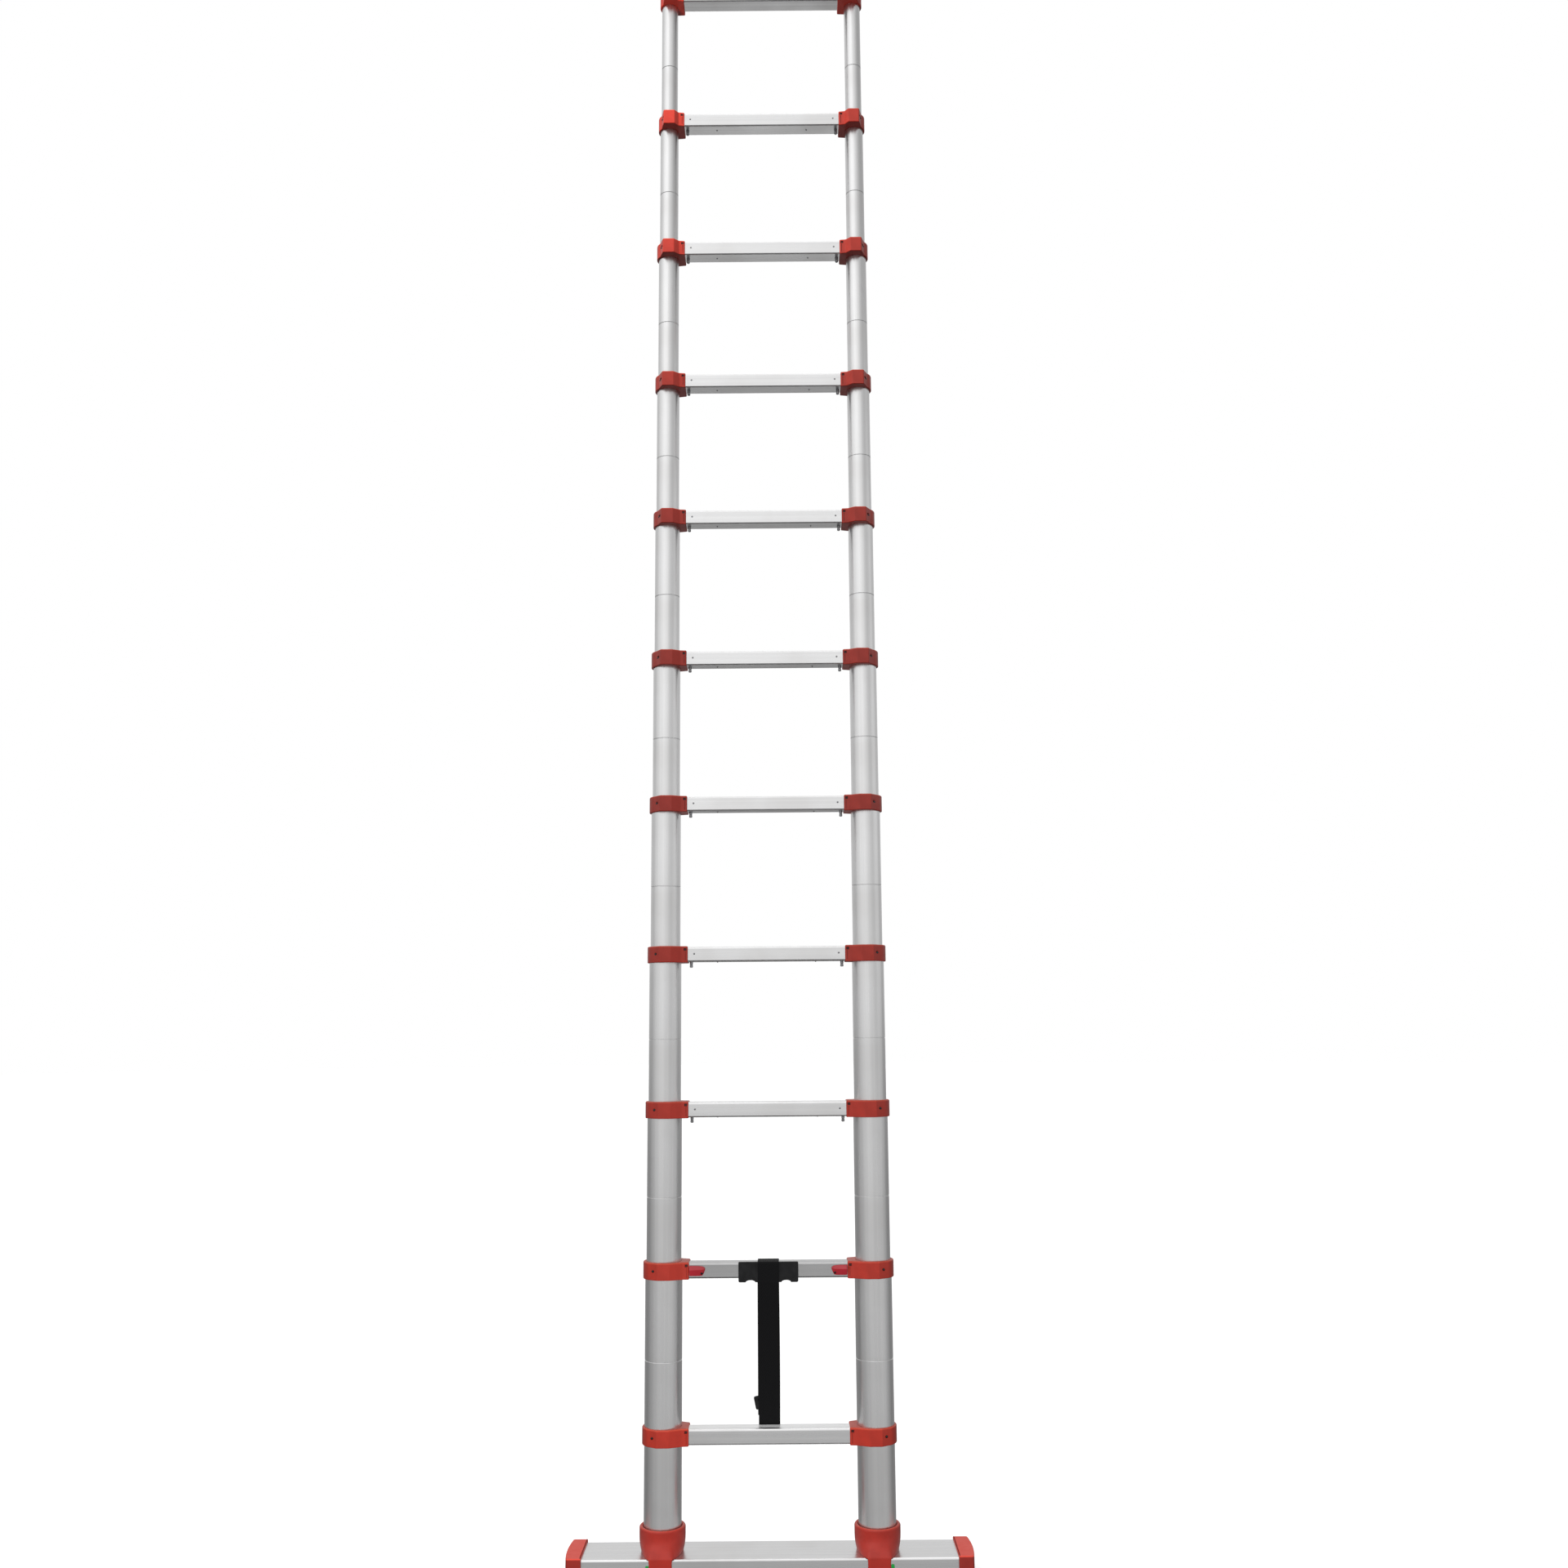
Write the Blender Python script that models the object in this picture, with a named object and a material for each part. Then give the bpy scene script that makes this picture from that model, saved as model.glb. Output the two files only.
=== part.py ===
"""Telescopic extension ladder, standing at full height.

Ten pairs of aluminium tubes nest in each other. Each pair carries a hollow rung in red collars,
and the next pair slides down through those collars when the ladder is shut. A wide stabiliser
bar is fixed under the lowest pair. Units are metres. X runs across the ladder, -Y is its front,
+Z is up, and the origin is on the floor below the middle of the bar.
"""

import math

import bmesh
import bpy
from mathutils import Matrix

# Layout of the ladder
STILE_PITCH = 0.402
HALF_PITCH = STILE_PITCH / 2
RUNG_COUNT = 11
RUNG_SPACING = 0.300
FIRST_RUNG_Z = 0.2555
SIDES = {"left": -1, "right": 1}

# Stile tubes: each is 4 mm smaller in diameter than the one it slides in
TUBE_COUNT = 10
FIRST_TUBE_RADIUS = 0.0355
TUBE_RADIUS_STEP = 0.002
TUBE_WALL = 0.0015
TUBE_SIDES = 20
TUBE_TOP_ABOVE_RUNG = 0.0127
TUBE_OVERLAP = 0.0677
FIRST_TUBE_BOTTOM_Z = 0.0555

# Gaps and running clearances
GAP = 0.0003
BORE_CLEARANCE = 0.0003
SLIDE_CLEARANCE = 0.0005

# Rungs: a hollow section, set a little forward of the tubes' axes
RUNG_FORWARD = 0.008
RUNG_DEPTH = 0.036
RUNG_HEIGHT = 0.029
RUNG_WALL = 0.0018
RUNG_TOP_RADIUS = 0.006
RUNG_BOTTOM_RADIUS = 0.0025
RUNG_END_FROM_TUBE = 0.006

# Collars: a ring round the tube, a nose with a flat front, and a block that holds the rung's end
COLLAR_HEIGHT = 0.032
COLLAR_RING = 0.004
COLLAR_LIP = 0.003
NOSE_FRONT = 0.040
NOSE_OUTBOARD = 0.010
NOSE_INBOARD = 0.0135
NOSE_ROOT_ANGLE = math.radians(133)
BLOCK_REACH = 0.0145
BLOCK_FRONT = 0.0285
BLOCK_VALLEY = 0.030
BLOCK_REAR = 0.020
ARC_STEPS = 9
SCREW_HOLE_RADIUS = 0.0025
SCREW_HOLE_DEPTH = 0.003
WINDOW_WIDTH = 0.0055
WINDOW_HEIGHT = 0.0050
WINDOW_DEPTH = 0.0015
WINDOW_FROM_END = 0.0025
WINDOW_FROM_TOP = 0.0040
TIE_SIZE = 0.003
TIE_BACK = 0.006
TIE_RISE = 0.0065

# Release pins: they hang below rungs 3 to 10 and are pushed up by the rung beneath
FIRST_PIN_RUNG = 3
LAST_PIN_RUNG = 10
PIN_RADIUS = 0.0031
PIN_HOLE_RADIUS = 0.0035
PIN_DROP = 0.011
PIN_FROM_TUBE = 0.0205
PIN_SIDES = 8
PIN_STRIP_WIDTH = 0.007
PIN_STRIP_THICKNESS = 0.002
PIN_STRIP_LIFT = 0.0005

# Thumb sliders on rung 2, with their lock bolts
SLIDER_RUNG = 2
SLIDER_LENGTH = 0.030
SLIDER_HEIGHT = 0.019
SLIDER_DEPTH = 0.008
SLIDER_TRAVEL = 0.008
SLIDER_NECK = 0.008
SLIDER_NECK_HEIGHT = 0.006
SLIDER_NECK_IN = 0.0115
BOLT_RADIUS = 0.0035
BOLT_HOLE_RADIUS = 0.0040
BOLT_SIDES = 8

# Stabiliser bar, its two end feet, and the sockets that hold the lowest tubes on it
BAR_DEPTH = 0.100
BAR_TOP_Z = 0.050
BAR_BOTTOM_Z = 0.008
BAR_WALL = 0.002
BAR_CORNER = 0.003
FOOT_OUTER_X = 0.377
FOOT_WIDTH = 0.030
FOOT_END_WALL = 0.006
FOOT_PROUD = 0.004
FOOT_CORNER = 0.006
SOCKET_TOP_Z = 0.0955
SOCKET_BASE_RADIUS = 0.0395
SOCKET_RIM_RADIUS = 0.0425
SOCKET_RIM_Z = 0.082
SOCKET_FLOOR = 0.0049
TONGUE_WIDTH = 0.042
TONGUE_THICKNESS = 0.004
TONGUE_BOTTOM_Z = 0.012

# Strap that ties the two lowest rungs together, with its grip plate, narrow tail and buckle
STRAP_WIDTH = 0.038
STRAP_THICKNESS = 0.0016
STRAP_GAP = 0.0004
STRAP_FOOT = -0.011
STRAP_BEND_ABOVE_RUNG = 0.013
STRAP_CORNER = 0.003
TAIL_X = -0.009
TAIL_WIDTH = 0.025
TAIL_START_BELOW_RUNG = 0.020
TAIL_END_ABOVE_RUNG = 0.030
GRIP_WIDTH = 0.114
GRIP_THICKNESS = 0.004
GRIP_TOP = 0.013
GRIP_BOTTOM = -0.0215
GRIP_CORNER = 0.002
SCALLOP_CENTRE = 0.034
SCALLOP_HALF_WIDTH = 0.009
SCALLOP_RISE = 0.004
BUCKLE_WIDTH = 0.038
BUCKLE_HEIGHT = 0.024
BUCKLE_RIM = 0.0025
BUCKLE_FACE = 0.0015
BUCKLE_ROOM = 0.0006
BUCKLE_ABOVE_RUNG = 0.055
BUCKLE_TILT = math.radians(-12)

RUNG_REAR_Y = -RUNG_FORWARD + RUNG_DEPTH / 2
RUNG_FRONT_Y = -RUNG_FORWARD - RUNG_DEPTH / 2
STRAP_REAR_Y = RUNG_REAR_Y + STRAP_GAP + STRAP_THICKNESS / 2
STRAP_FRONT_Y = RUNG_FRONT_Y - GAP - GRIP_THICKNESS - STRAP_GAP - STRAP_THICKNESS / 2


def rung_z(rung):
    """Height of a rung's centre above the floor."""
    return FIRST_RUNG_Z + RUNG_SPACING * (rung - 1)


def tube_radius(tube):
    """Outer radius of a stile tube; tube 1 is the lowest and widest."""
    return FIRST_TUBE_RADIUS - TUBE_RADIUS_STEP * (tube - 1)


def tube_under(rung):
    """The tube whose top carries this rung. The two lowest rungs share tube 1."""
    return max(1, rung - 1)


# ---------------------------------------------------------------- scene and materials


def clear_scene():
    for obj in list(bpy.data.objects):
        bpy.data.objects.remove(obj, do_unlink=True)


def new_material(name, colour, roughness, metallic=0.0):
    made = bpy.data.materials.new(name)
    made.use_nodes = True
    shader = made.node_tree.nodes["Principled BSDF"]
    shader.inputs["Base Color"].default_value = (*colour, 1.0)
    shader.inputs["Roughness"].default_value = roughness
    shader.inputs["Metallic"].default_value = metallic
    made.diffuse_color = (*colour, 1.0)
    return made


def new_empty(name, height):
    made = bpy.data.objects.new(name, None)
    made.location = (0, 0, height)
    bpy.context.scene.collection.objects.link(made)
    return made


def new_object(name, shape, location, parent=None):
    """Turn a bmesh into an object at a world location, with its faces outward."""
    bmesh.ops.recalc_face_normals(shape, faces=shape.faces)
    mesh = bpy.data.meshes.new(name)
    shape.to_mesh(mesh)
    shape.free()
    made = bpy.data.objects.new(name, mesh)
    bpy.context.scene.collection.objects.link(made)
    made.parent = parent
    offset = parent.location if parent else (0, 0, 0)
    made.location = [place - start for place, start in zip(location, offset)]
    return made


def new_piece(name, shape, look, location, parent=None):
    """A visible piece: smooth where it is round, sharp at its edges."""
    made = new_object(name, shape, location, parent)
    made.data.materials.append(look)
    made.data.shade_smooth()
    made.data.set_sharp_from_angle(angle=math.radians(35))
    return made


def new_tool(name, shape, location, parent=None):
    """A shape that only cuts or joins another piece."""
    made = new_object(name, shape, location, parent)
    made.hide_render = True
    made.display_type = "WIRE"
    return made


def combine(piece, tool, operation="DIFFERENCE"):
    step = piece.modifiers.new(tool.name, "BOOLEAN")
    step.operation = operation
    step.solver = "EXACT"
    step.object = tool


# ---------------------------------------------------------------- outlines and solids

ON_AXIS = {
    "X": lambda a, b, along: (along, a, b),
    "Y": lambda a, b, along: (a, along, b),
    "Z": lambda a, b, along: (a, b, along),
}


def circle(radius, sides, centre=(0, 0)):
    steps = [2 * math.pi * (i + 0.5) / sides for i in range(sides)]
    return [(centre[0] + radius * math.cos(t), centre[1] + radius * math.sin(t)) for t in steps]


def rectangle(low, high):
    return [(low[0], low[1]), (high[0], low[1]), (high[0], high[1]), (low[0], high[1])]


def rounded_box(width, height, bottom_radius, top_radius, steps=2):
    """A rounded rectangle about the origin, counter-clockwise from its lower right corner."""
    corners = (
        (1, -1, bottom_radius, -90),
        (1, 1, top_radius, 0),
        (-1, 1, top_radius, 90),
        (-1, -1, bottom_radius, 180),
    )
    points = []
    for x_sign, y_sign, radius, first in corners:
        x = x_sign * (width / 2 - radius)
        y = y_sign * (height / 2 - radius)
        for i in range(steps + 1):
            turn = math.radians(first + 90 * i / steps)
            points.append((x + radius * math.cos(turn), y + radius * math.sin(turn)))
    return points


def add_prism(shape, outline, start, end, axis):
    """A solid of constant section along an axis."""
    put = ON_AXIS[axis]
    rows = [[shape.verts.new(put(a, b, along)) for a, b in outline] for along in (start, end)]
    shape.faces.new(rows[0])
    shape.faces.new(rows[1])
    for i in range(len(outline)):
        j = (i + 1) % len(outline)
        shape.faces.new((rows[0][i], rows[0][j], rows[1][j], rows[1][i]))


def add_ring_of_sections(shape, sections):
    """Join closed sections of equal size in a closed loop, as in a hollow tube."""
    rows = [[shape.verts.new(point) for point in section] for section in sections]
    for k, row in enumerate(rows):
        following = rows[(k + 1) % len(rows)]
        for i in range(len(row)):
            j = (i + 1) % len(row)
            shape.faces.new((row[i], row[j], following[j], following[i]))


def add_hollow(shape, outer, inner, start, end, axis):
    """A hollow section along an axis, open at both ends."""
    put = ON_AXIS[axis]
    order = ((outer, start), (outer, end), (inner, end), (inner, start))
    add_ring_of_sections(shape, [[put(a, b, along) for a, b in line] for line, along in order])


def add_stack(shape, levels, sides, centre=(0, 0)):
    """A solid of revolution about Z, from a list of (radius, height)."""
    rows = [
        [shape.verts.new((x, y, height)) for x, y in circle(radius, sides, centre)]
        for radius, height in levels
    ]
    shape.faces.new(rows[0])
    shape.faces.new(rows[-1])
    for low, high in zip(rows, rows[1:]):
        for i in range(sides):
            j = (i + 1) % sides
            shape.faces.new((low[i], low[j], high[j], high[i]))


def add_box(shape, low, high):
    add_prism(shape, rectangle(low[:2], high[:2]), low[2], high[2], "Z")


# ---------------------------------------------------------------- stiles and rungs


def make_stile(tube, side, look, parent):
    """One tube, with its origin on its own axis at its lower end."""
    radius = tube_radius(tube)
    top = rung_z(tube + 1) + TUBE_TOP_ABOVE_RUNG
    length = RUNG_SPACING + TUBE_OVERLAP if tube > 1 else top - FIRST_TUBE_BOTTOM_Z
    shape = bmesh.new()
    outer = circle(radius, TUBE_SIDES)
    inner = circle(radius - TUBE_WALL, TUBE_SIDES)
    add_hollow(shape, outer, inner, 0, length, "Z")
    place = (SIDES[side] * HALF_PITCH, 0, top - length)
    return new_piece(f"stile_{tube}_{side}", shape, look, place, parent)


def make_rung(rung, look, parent):
    half_length = HALF_PITCH - tube_radius(tube_under(rung)) - RUNG_END_FROM_TUBE
    outer = rounded_box(RUNG_DEPTH, RUNG_HEIGHT, RUNG_BOTTOM_RADIUS, RUNG_TOP_RADIUS)
    inner = rounded_box(
        RUNG_DEPTH - 2 * RUNG_WALL,
        RUNG_HEIGHT - 2 * RUNG_WALL,
        RUNG_BOTTOM_RADIUS - RUNG_WALL,
        RUNG_TOP_RADIUS - RUNG_WALL,
    )
    shape = bmesh.new()
    add_hollow(shape, outer, inner, -half_length, half_length, "X")
    return new_piece(f"rung_{rung}", shape, look, (0, -RUNG_FORWARD, rung_z(rung)), parent)


# ---------------------------------------------------------------- collars


def collar_outline(radius):
    """Plan of a collar as (inboard, forward) points about its tube's axis."""
    ring = radius + COLLAR_RING
    end = radius + BLOCK_REACH
    rear_corner = math.atan2(-BLOCK_REAR, end)
    first = rear_corner - math.acos(ring / math.hypot(end, BLOCK_REAR))
    last = NOSE_ROOT_ANGLE - 2 * math.pi
    turns = [first + (last - first) * i / ARC_STEPS for i in range(ARC_STEPS + 1)]
    arc = [(ring * math.cos(turn), ring * math.sin(turn)) for turn in turns]
    nose = [(-NOSE_OUTBOARD, NOSE_FRONT), (NOSE_INBOARD, NOSE_FRONT)]
    block = [(radius + 0.002, BLOCK_VALLEY), (end, BLOCK_FRONT), (end, -BLOCK_REAR)]
    return arc + nose + block


def screw_hole_place(radius):
    """A point on the sloping outer side of the nose, as (inboard, forward)."""
    ring = radius + COLLAR_RING
    root = (ring * math.cos(NOSE_ROOT_ANGLE), ring * math.sin(NOSE_ROOT_ANGLE))
    corner = (-NOSE_OUTBOARD, NOSE_FRONT)
    return [(near + far) / 2 for near, far in zip(corner, root)]


def across(side, inboard):
    """X of a point that lies this far inboard of a stile's axis."""
    return SIDES[side] * (HALF_PITCH - inboard)


def add_collar_voids(shape, rung, side):
    """The bore with its lip, the rung's pocket, the screw hole and the block's small window of one collar."""
    radius = tube_radius(tube_under(rung))
    half = COLLAR_HEIGHT / 2
    bore = radius + BORE_CLEARANCE
    lip = tube_radius(rung) + SLIDE_CLEARANCE
    shoulder = half - COLLAR_LIP
    past = 0.004
    axis_x = SIDES[side] * HALF_PITCH
    if rung == 1:
        levels = [(bore, -half - past), (bore, half + past)]
    elif rung == RUNG_COUNT:
        levels = [(bore, -half - past), (bore, shoulder)]
    else:
        levels = [(bore, -half - past), (bore, shoulder), (lip, shoulder), (lip, half + past)]
    add_stack(shape, levels, TUBE_SIDES, (axis_x, 0))

    pocket = [across(side, radius + RUNG_END_FROM_TUBE - GAP), across(side, radius + 0.030)]
    rise = RUNG_HEIGHT / 2 + GAP
    low = (min(pocket), RUNG_FRONT_Y - GAP, -rise)
    add_box(shape, low, (max(pocket), RUNG_REAR_Y + GAP, rise))

    hole = screw_hole_place(radius)
    outline = circle(SCREW_HOLE_RADIUS, PIN_SIDES, (across(side, hole[0]), 0.001))
    add_prism(shape, outline, -hole[1] + SCREW_HOLE_DEPTH, -NOSE_FRONT - past, "Y")

    end = radius + BLOCK_REACH - WINDOW_FROM_END
    window = [across(side, end - WINDOW_WIDTH), across(side, end)]
    top = half - WINDOW_FROM_TOP
    low = (min(window), -BLOCK_FRONT - past, top - WINDOW_HEIGHT)
    add_box(shape, low, (max(window), -BLOCK_FRONT + WINDOW_DEPTH, top))


def make_collars(rung, look, parent):
    """A rung's two collars, joined by a thin tie hidden inside the rung."""
    radius = tube_radius(tube_under(rung))
    half = COLLAR_HEIGHT / 2
    place = (0, 0, rung_z(rung))
    blocks = bmesh.new()
    voids = bmesh.new()
    for side in SIDES:
        outline = [(across(side, inboard), -forward) for inboard, forward in collar_outline(radius)]
        add_prism(blocks, outline, -half, half, "Z")
        add_collar_voids(voids, rung, side)
    made = new_piece(f"collars_{rung}", blocks, look, place, parent)
    combine(made, new_tool(f"collar_voids_{rung}", voids, place, parent))

    tie = bmesh.new()
    reach = HALF_PITCH - radius - RUNG_END_FROM_TUBE + 0.001
    low = (-reach, TIE_BACK - TIE_SIZE / 2, TIE_RISE - TIE_SIZE / 2)
    add_box(tie, low, (reach, TIE_BACK + TIE_SIZE / 2, TIE_RISE + TIE_SIZE / 2))
    combine(made, new_tool(f"collar_tie_{rung}", tie, place, parent), "UNION")
    return made


# ---------------------------------------------------------------- release pins


def make_release_pins(rung, rung_object, look, parent):
    """The two pins under a rung, joined by a thin strip inside it, and their holes in the rung."""
    spread = HALF_PITCH - tube_radius(tube_under(rung)) - PIN_FROM_TUBE
    place = (0, -RUNG_FORWARD, rung_z(rung))
    floor = -RUNG_HEIGHT / 2 + RUNG_WALL + PIN_STRIP_LIFT
    top = floor + PIN_STRIP_THICKNESS
    tip = -RUNG_HEIGHT / 2 - PIN_DROP
    strip, pins, holes = bmesh.new(), bmesh.new(), bmesh.new()
    reach = spread + PIN_STRIP_WIDTH / 2
    half_width = PIN_STRIP_WIDTH / 2
    add_box(strip, (-reach, -half_width, floor), (reach, half_width, top))
    for side in SIDES.values():
        centre = (side * spread, 0)
        add_prism(pins, circle(PIN_RADIUS, PIN_SIDES, centre), tip, floor + 0.001, "Z")
        add_prism(holes, circle(PIN_HOLE_RADIUS, PIN_SIDES, centre), tip, floor + 0.001, "Z")
    made = new_piece(f"release_pins_{rung}", strip, look, place, parent)
    combine(made, new_tool(f"pin_shafts_{rung}", pins, place, parent), "UNION")
    combine(rung_object, new_tool(f"pin_holes_{rung}", holes, place, parent))
    return made


# ---------------------------------------------------------------- thumb sliders


def make_thumb_slider(side, look, parent):
    """A thumb piece on the rung's front, a neck through its slot, and the lock bolt behind it."""
    first = tube_radius(1) + BLOCK_REACH + 0.0005
    last = first + SLIDER_LENGTH
    face = RUNG_FRONT_Y - GAP
    neck = first + SLIDER_NECK_IN
    place = (across(side, first), 0, rung_z(SLIDER_RUNG))

    def local(inboard):
        return across(side, inboard) - place[0]

    thumb, stem, bolt = bmesh.new(), bmesh.new(), bmesh.new()
    outline = rounded_box(SLIDER_LENGTH, SLIDER_HEIGHT, 0.006, 0.006)
    middle = local((first + last) / 2)
    add_prism(thumb, [(x + middle, z) for x, z in outline], face, face - SLIDER_DEPTH, "Y")
    edges = sorted((local(neck), local(neck + SLIDER_NECK)))
    rise = SLIDER_NECK_HEIGHT / 2
    add_box(stem, (edges[0], face - 0.001, -rise), (edges[1], BOLT_RADIUS - 0.0005, rise))
    tip = local(tube_radius(2) + SLIDE_CLEARANCE)
    section = circle(BOLT_RADIUS, BOLT_SIDES)
    add_prism(bolt, section, tip, local(neck + SLIDER_NECK / 2), "X")
    made = new_piece(f"thumb_slider_{side}", thumb, look, place, parent)
    combine(made, new_tool(f"slider_stem_{side}", stem, place, parent), "UNION")
    combine(made, new_tool(f"slider_bolt_{side}", bolt, place, parent), "UNION")
    return made


def cut_slider_openings(rung_object, collars, stiles, parent):
    """Slots in the rung's front wall, and bolt holes through the collars and the lowest tubes."""
    first = tube_radius(1) + BLOCK_REACH + SLIDER_NECK_IN
    place = (0, 0, rung_z(SLIDER_RUNG))
    slots, holes = bmesh.new(), bmesh.new()
    rise = SLIDER_NECK_HEIGHT / 2 + GAP
    section = circle(BOLT_HOLE_RADIUS, BOLT_SIDES)
    for side in SIDES:
        ends = sorted((across(side, first), across(side, first + SLIDER_NECK + SLIDER_TRAVEL + 0.001)))
        add_box(slots, (ends[0], RUNG_FRONT_Y - 0.004, -rise), (ends[1], RUNG_FRONT_Y + 0.004, rise))
        inner = across(side, tube_radius(1) - 0.006)
        add_prism(holes, section, inner, across(side, tube_radius(1) + 0.010), "X")
    combine(rung_object, new_tool("slider_slots", slots, place, parent))
    tool = new_tool("bolt_holes", holes, place, parent)
    for piece in (collars, *stiles):
        combine(piece, tool)


# ---------------------------------------------------------------- base


def make_bar(look, parent):
    height = BAR_TOP_Z - BAR_BOTTOM_Z
    outer = rounded_box(BAR_DEPTH, height, BAR_CORNER, BAR_CORNER)
    inner_corner = BAR_CORNER - BAR_WALL
    inner = rounded_box(BAR_DEPTH - 2 * BAR_WALL, height - 2 * BAR_WALL, inner_corner, inner_corner)
    half_length = FOOT_OUTER_X - FOOT_END_WALL - GAP
    shape = bmesh.new()
    add_hollow(shape, outer, inner, -half_length, half_length, "X")
    return new_piece("stabiliser_bar", shape, look, (0, 0, (BAR_TOP_Z + BAR_BOTTOM_Z) / 2), parent)


def make_bar_foot(side, look, parent):
    """A cap over the bar's end, with a pocket for it. Its underside stands on the floor."""
    sign = SIDES[side]
    top = BAR_TOP_Z + FOOT_PROUD
    depth = BAR_DEPTH + 2 * FOOT_PROUD
    shape, pocket = bmesh.new(), bmesh.new()
    outline = rounded_box(depth, top, FOOT_CORNER, FOOT_CORNER, steps=3)
    add_prism(shape, [(y, z + top / 2) for y, z in outline], 0, -sign * FOOT_WIDTH, "X")
    low = (-BAR_DEPTH / 2 - GAP, BAR_BOTTOM_Z - GAP)
    high = (BAR_DEPTH / 2 + GAP, BAR_TOP_Z + GAP)
    past = -sign * (FOOT_WIDTH + 0.01)
    add_prism(pocket, rectangle(low, high), -sign * FOOT_END_WALL, past, "X")
    place = (sign * FOOT_OUTER_X, 0, 0)
    made = new_piece(f"bar_foot_{side}", shape, look, place, parent)
    combine(made, new_tool(f"bar_pocket_{side}", pocket, place, parent))
    return made


def make_foot_socket(side, look, parent):
    """A cup for the lowest tube, with a tongue down the bar's front face and one down its back."""
    base = BAR_TOP_Z + GAP
    cup, saddle, bore = bmesh.new(), bmesh.new(), bmesh.new()
    levels = (
        (SOCKET_BASE_RADIUS, base),
        (SOCKET_BASE_RADIUS + 0.001, SOCKET_RIM_Z - 0.010),
        (SOCKET_RIM_RADIUS, SOCKET_RIM_Z),
        (SOCKET_RIM_RADIUS, SOCKET_TOP_Z),
    )
    add_stack(cup, levels, TUBE_SIDES)
    inside = BAR_DEPTH / 2 + GAP
    outside = inside + TONGUE_THICKNESS
    crown = base + TONGUE_THICKNESS
    outline = (
        (-outside, TONGUE_BOTTOM_Z),
        (-inside, TONGUE_BOTTOM_Z),
        (-inside, base),
        (inside, base),
        (inside, TONGUE_BOTTOM_Z),
        (outside, TONGUE_BOTTOM_Z),
        (outside, crown - 0.002),
        (outside - 0.002, crown),
        (-outside + 0.002, crown),
        (-outside, crown - 0.002),
    )
    add_prism(saddle, outline, -TONGUE_WIDTH / 2, TONGUE_WIDTH / 2, "X")
    radius = tube_radius(1) + BORE_CLEARANCE
    floor = base + SOCKET_FLOOR
    add_stack(bore, [(radius, floor), (radius, SOCKET_TOP_Z + 0.01)], TUBE_SIDES)
    place = (SIDES[side] * HALF_PITCH, 0, 0)
    made = new_piece(f"foot_socket_{side}", cup, look, place, parent)
    combine(made, new_tool(f"socket_saddle_{side}", saddle, place, parent), "UNION")
    combine(made, new_tool(f"socket_bore_{side}", bore, place, parent))
    return made


# ---------------------------------------------------------------- strap, grip plate and buckle


def ribbon_outline(route, thickness):
    """A band of even thickness along a route, as one closed outline."""
    left, right = [], []
    for i, (a, b) in enumerate(route):
        before = route[max(i - 1, 0)]
        after = route[min(i + 1, len(route) - 1)]
        first = (a - before[0], b - before[1]) if i else (after[0] - a, after[1] - b)
        second = (after[0] - a, after[1] - b) if i + 1 < len(route) else first
        normals = []
        for run in (first, second):
            length = math.hypot(*run)
            normals.append((-run[1] / length, run[0] / length))
        across_both = (normals[0][0] + normals[1][0], normals[0][1] + normals[1][1])
        scale = thickness / (across_both[0] ** 2 + across_both[1] ** 2)
        left.append((a + across_both[0] * scale, b + across_both[1] * scale))
        right.append((a - across_both[0] * scale, b - across_both[1] * scale))
    return left + right[::-1]


def strap_route():
    """Middle line of the strap as (y, z): behind rung 1, up in front of rung 2, and over its top."""
    over = rung_z(2) + RUNG_HEIGHT / 2 + STRAP_GAP + STRAP_THICKNESS / 2
    third = STRAP_CORNER / 3
    return [
        (STRAP_REAR_Y, rung_z(1) + STRAP_FOOT),
        (STRAP_REAR_Y, rung_z(1) + STRAP_BEND_ABOVE_RUNG),
        (STRAP_FRONT_Y, rung_z(2) + GRIP_BOTTOM),
        (STRAP_FRONT_Y, over - STRAP_CORNER),
        (STRAP_FRONT_Y + third, over - third),
        (STRAP_FRONT_Y + STRAP_CORNER, over),
        (STRAP_REAR_Y - STRAP_CORNER, over),
        (STRAP_REAR_Y - third, over - third),
        (STRAP_REAR_Y, over - STRAP_CORNER),
        (STRAP_REAR_Y, rung_z(2) - TAIL_START_BELOW_RUNG),
    ]


def make_strap(look, parent):
    """The wide strap, with its narrow tail that runs down behind it to the buckle."""
    band, tail = bmesh.new(), bmesh.new()
    outline = ribbon_outline(strap_route(), STRAP_THICKNESS)
    add_prism(band, outline, -STRAP_WIDTH / 2, STRAP_WIDTH / 2, "X")
    half = STRAP_THICKNESS / 2
    low = (TAIL_X - TAIL_WIDTH / 2, STRAP_REAR_Y - half, rung_z(1) + TAIL_END_ABOVE_RUNG)
    high = (TAIL_X + TAIL_WIDTH / 2, STRAP_REAR_Y + half, rung_z(2))
    add_box(tail, low, high)
    made = new_piece("strap", band, look, (0, 0, 0), parent)
    combine(made, new_tool("strap_tail", tail, (0, 0, 0), parent), "UNION")
    return made


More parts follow.
